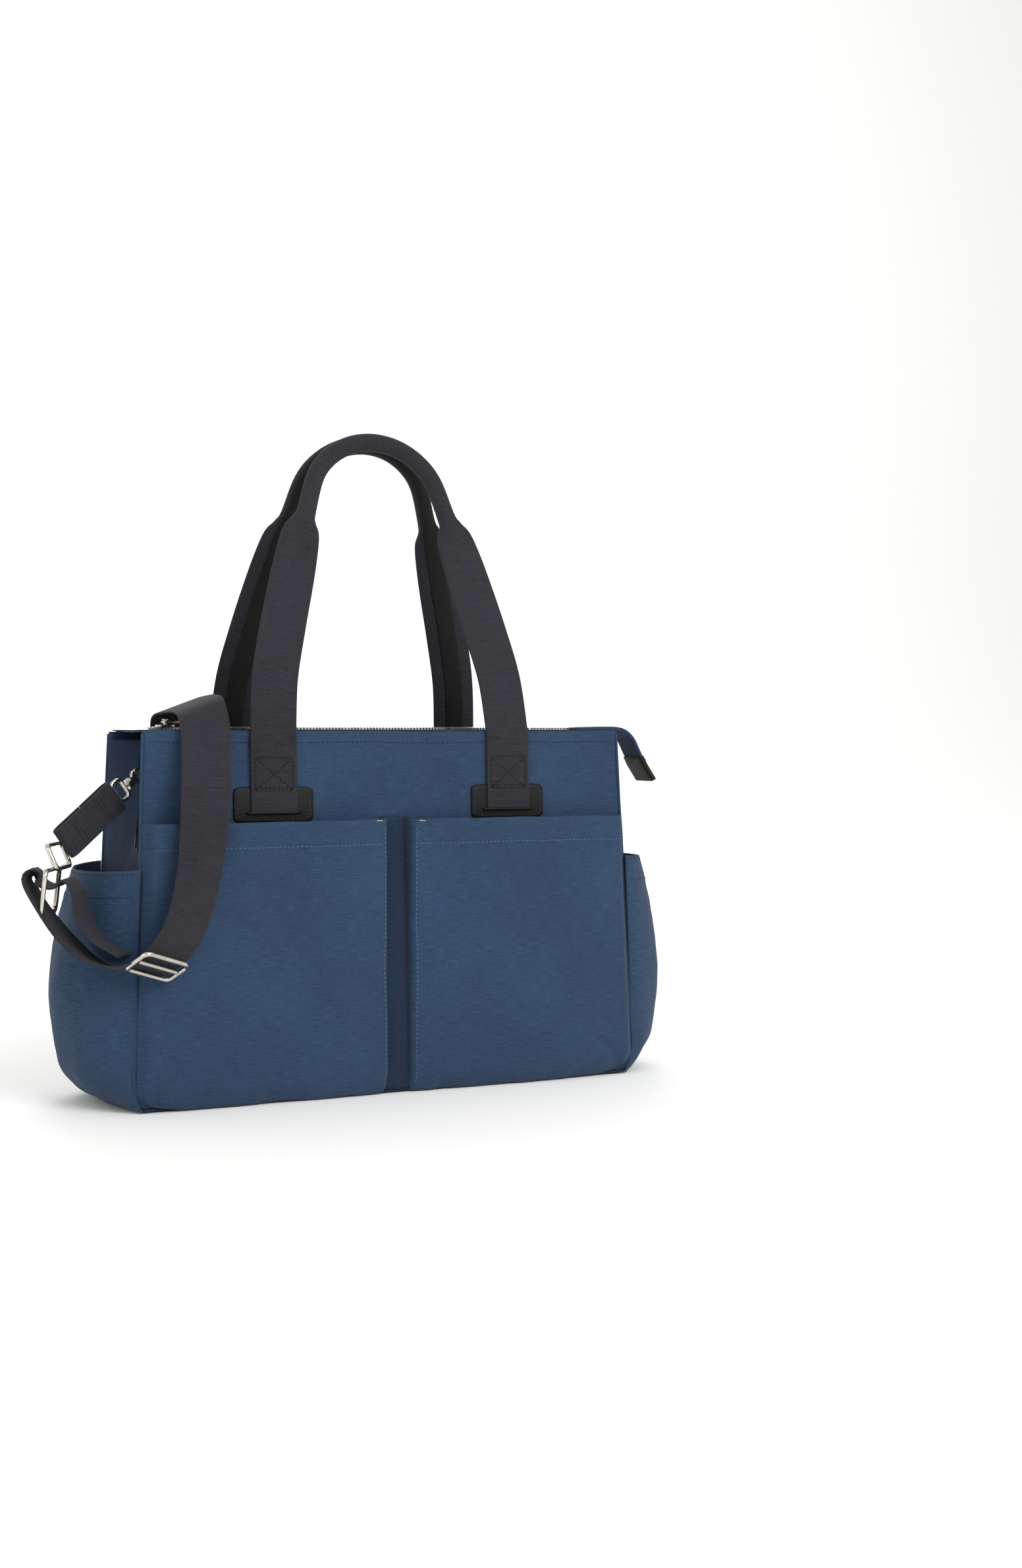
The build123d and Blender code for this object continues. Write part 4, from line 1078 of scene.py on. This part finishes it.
# Folded webbing tabs that hold the D-rings to the gussets
TAB_WIDE = 9.2
RING_AXIS = Vector((-0.50, -0.30, -0.81)).normalized()
tab_ring = Vector((-191.0, -14.0, 264.0)) - RING_AXIS * 13.0
hook_axis = Vector((-0.80, -0.23, -0.556)).normalized()
hook_normal = hook_axis.cross(Vector((0, 1, 0))).cross(hook_axis).normalized()
tab_bar = (hook_normal - RING_AXIS * hook_normal.dot(RING_AXIS)).normalized()
tab_out = RING_AXIS.cross(tab_bar)
for sign, word in ((1, "left"), (-1, "right")):
    route = []
    for back, out in ((13, 1.1), (8, 1.3), (4, 2.4), (1, 2.9)):
        route.append(tab_ring - RING_AXIS * back + tab_out * out)
    route.append(tab_ring + RING_AXIS * 2.7)
    for back, out in ((1, 2.9), (4, 2.4), (8, 1.3), (13, 1.1)):
        route.append(tab_ring - RING_AXIS * back - tab_out * out)
    turned = [((p.x * sign, p.y * sign, p.z), (tab_bar.x * sign, tab_bar.y * sign, tab_bar.z)) for p in route]
    band(f"{word}_ring_tab_webbing", strap_rows(turned, TAB_WIDE, 1.4), 6, webbing, width=TAB_WIDE,
         stands_for=[f"{word}_d_ring_tab"])

# Cast and bent metal keeps its CAD shape and takes its finish here
FINISHES = {
    "nickel": (nickel, "nickel_hardware", ["left_d_ring", "right_d_ring", "left_snap_hook", "right_snap_hook",
                                            "left_hook_gate", "right_hook_gate", "left_swivel_eye",
                                            "right_swivel_eye", "upper_oval_ring", "lower_oval_ring",
                                            "strap_adjuster_frame", "strap_adjuster_bar", "zip_slider",
                                            "zip_pull_link"]),
    "rubber": (rubber, "pull_rubber", ["zip_pull_tab"]),
    "tape": (tape, "zip_tape", ["side_zip_tape"]),
    "coil": (coil, "nylon_coil", ["side_zip_coil"]),
    "painted": (painted, "painted_slider", ["side_zip_slider"]),
    "board": (board, "base_board", ["base_board"]),
}
CAST_EDGE = 0.35
for material, slot, nodes in FINISHES.values():
    for node in nodes:
        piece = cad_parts[node]
        piece.data.materials.clear()
        piece.data.materials.append(material)
        if material is nickel:
            edge = piece.modifiers.new("cast edge", "BEVEL")
            edge.width = CAST_EDGE * MM
            edge.segments = 2
            edge.limit_method = "ANGLE"
            edge.angle_limit = math.radians(50)

# Studio: a pale sweep, soft lights and the camera
SWEEP_FLAT = 3.4
SWEEP_RADIUS = 1.6


def sweep_profile():
    """The floor's side outline: flat, then curving up behind."""
    rows = [(-6.0, 0.0), (SWEEP_FLAT, 0.0)]
    for k in range(1, 17):
        turn = math.pi / 2 * k / 16
        rows.append((SWEEP_FLAT + SWEEP_RADIUS * math.sin(turn), SWEEP_RADIUS * (1 - math.cos(turn))))
    rows.append((SWEEP_FLAT + SWEEP_RADIUS, 6.0))
    return rows


sweep_mesh = bpy.data.meshes.new("studio_sweep")
profile = sweep_profile()
sweep_points = [(x, y, z) for y, z in profile for x in (-7.0, 7.0)]
sweep_faces = [(2 * i, 2 * i + 1, 2 * i + 3, 2 * i + 2) for i in range(len(profile) - 1)]
sweep_mesh.from_pydata(sweep_points, [], sweep_faces)
sweep_mesh.polygons.foreach_set("use_smooth", [True] * len(sweep_mesh.polygons))
sweep = bpy.data.objects.new("studio_sweep", sweep_mesh)
bpy.context.scene.collection.objects.link(sweep)
paper, _, paper_shader = new_material("white_background_paper")
paper_shader.inputs["Base Color"].default_value = linear("#f7f7f5")
paper_shader.inputs["Roughness"].default_value = 0.9
sweep_mesh.materials.append(paper)


def soft_light(name, place, target, size, power):
    """A square soft box aimed at a point, in metres and watts."""
    data = bpy.data.lights.new(name, "AREA")
    data.size = size
    data.energy = power
    light = bpy.data.objects.new(name, data)
    light.location = place
    light.rotation_mode = "QUATERNION"
    light.rotation_quaternion = (Vector(target) - Vector(place)).to_track_quat("-Z", "Y")
    bpy.context.scene.collection.objects.link(light)


BAG_MIDDLE = (0, 0, 0.22)
soft_light("key_softbox", (0.6, -2.6, 1.9), BAG_MIDDLE, 1.8, 62)
soft_light("fill_softbox", (-2.6, -1.2, 1.3), BAG_MIDDLE, 2.0, 16)
soft_light("back_softbox", (0.8, 2.4, 2.2), BAG_MIDDLE, 2.0, 34)
soft_light("backdrop_softbox", (0.6, 2.2, 2.6), (2.4, 5.0, 1.2), 3.0, 70)
world = bpy.data.worlds.new("studio")
world.use_nodes = True
world.node_tree.nodes["Background"].inputs["Color"].default_value = (1, 1, 1, 1)
world.node_tree.nodes["Background"].inputs["Strength"].default_value = 0.75
bpy.context.scene.world = world
bpy.context.scene.view_settings.view_transform = "Standard"

CAMERA_PLACE = (-0.606, -1.540, 0.292)
CAMERA_TURN = math.radians(25.6)
CAMERA_DIP = math.radians(1.5)
LENS_MM = 45.4
camera_data = bpy.data.cameras.new("camera")
camera_data.lens = LENS_MM
camera = bpy.data.objects.new("camera", camera_data)
camera.location = CAMERA_PLACE
ahead = Vector((math.sin(CAMERA_TURN) * math.cos(CAMERA_DIP), math.cos(CAMERA_TURN) * math.cos(CAMERA_DIP),
                -math.sin(CAMERA_DIP)))
camera.rotation_mode = "QUATERNION"
camera.rotation_quaternion = ahead.to_track_quat("-Z", "Y")
bpy.context.scene.collection.objects.link(camera)
bpy.context.scene.camera = camera

bpy.context.view_layer.update()
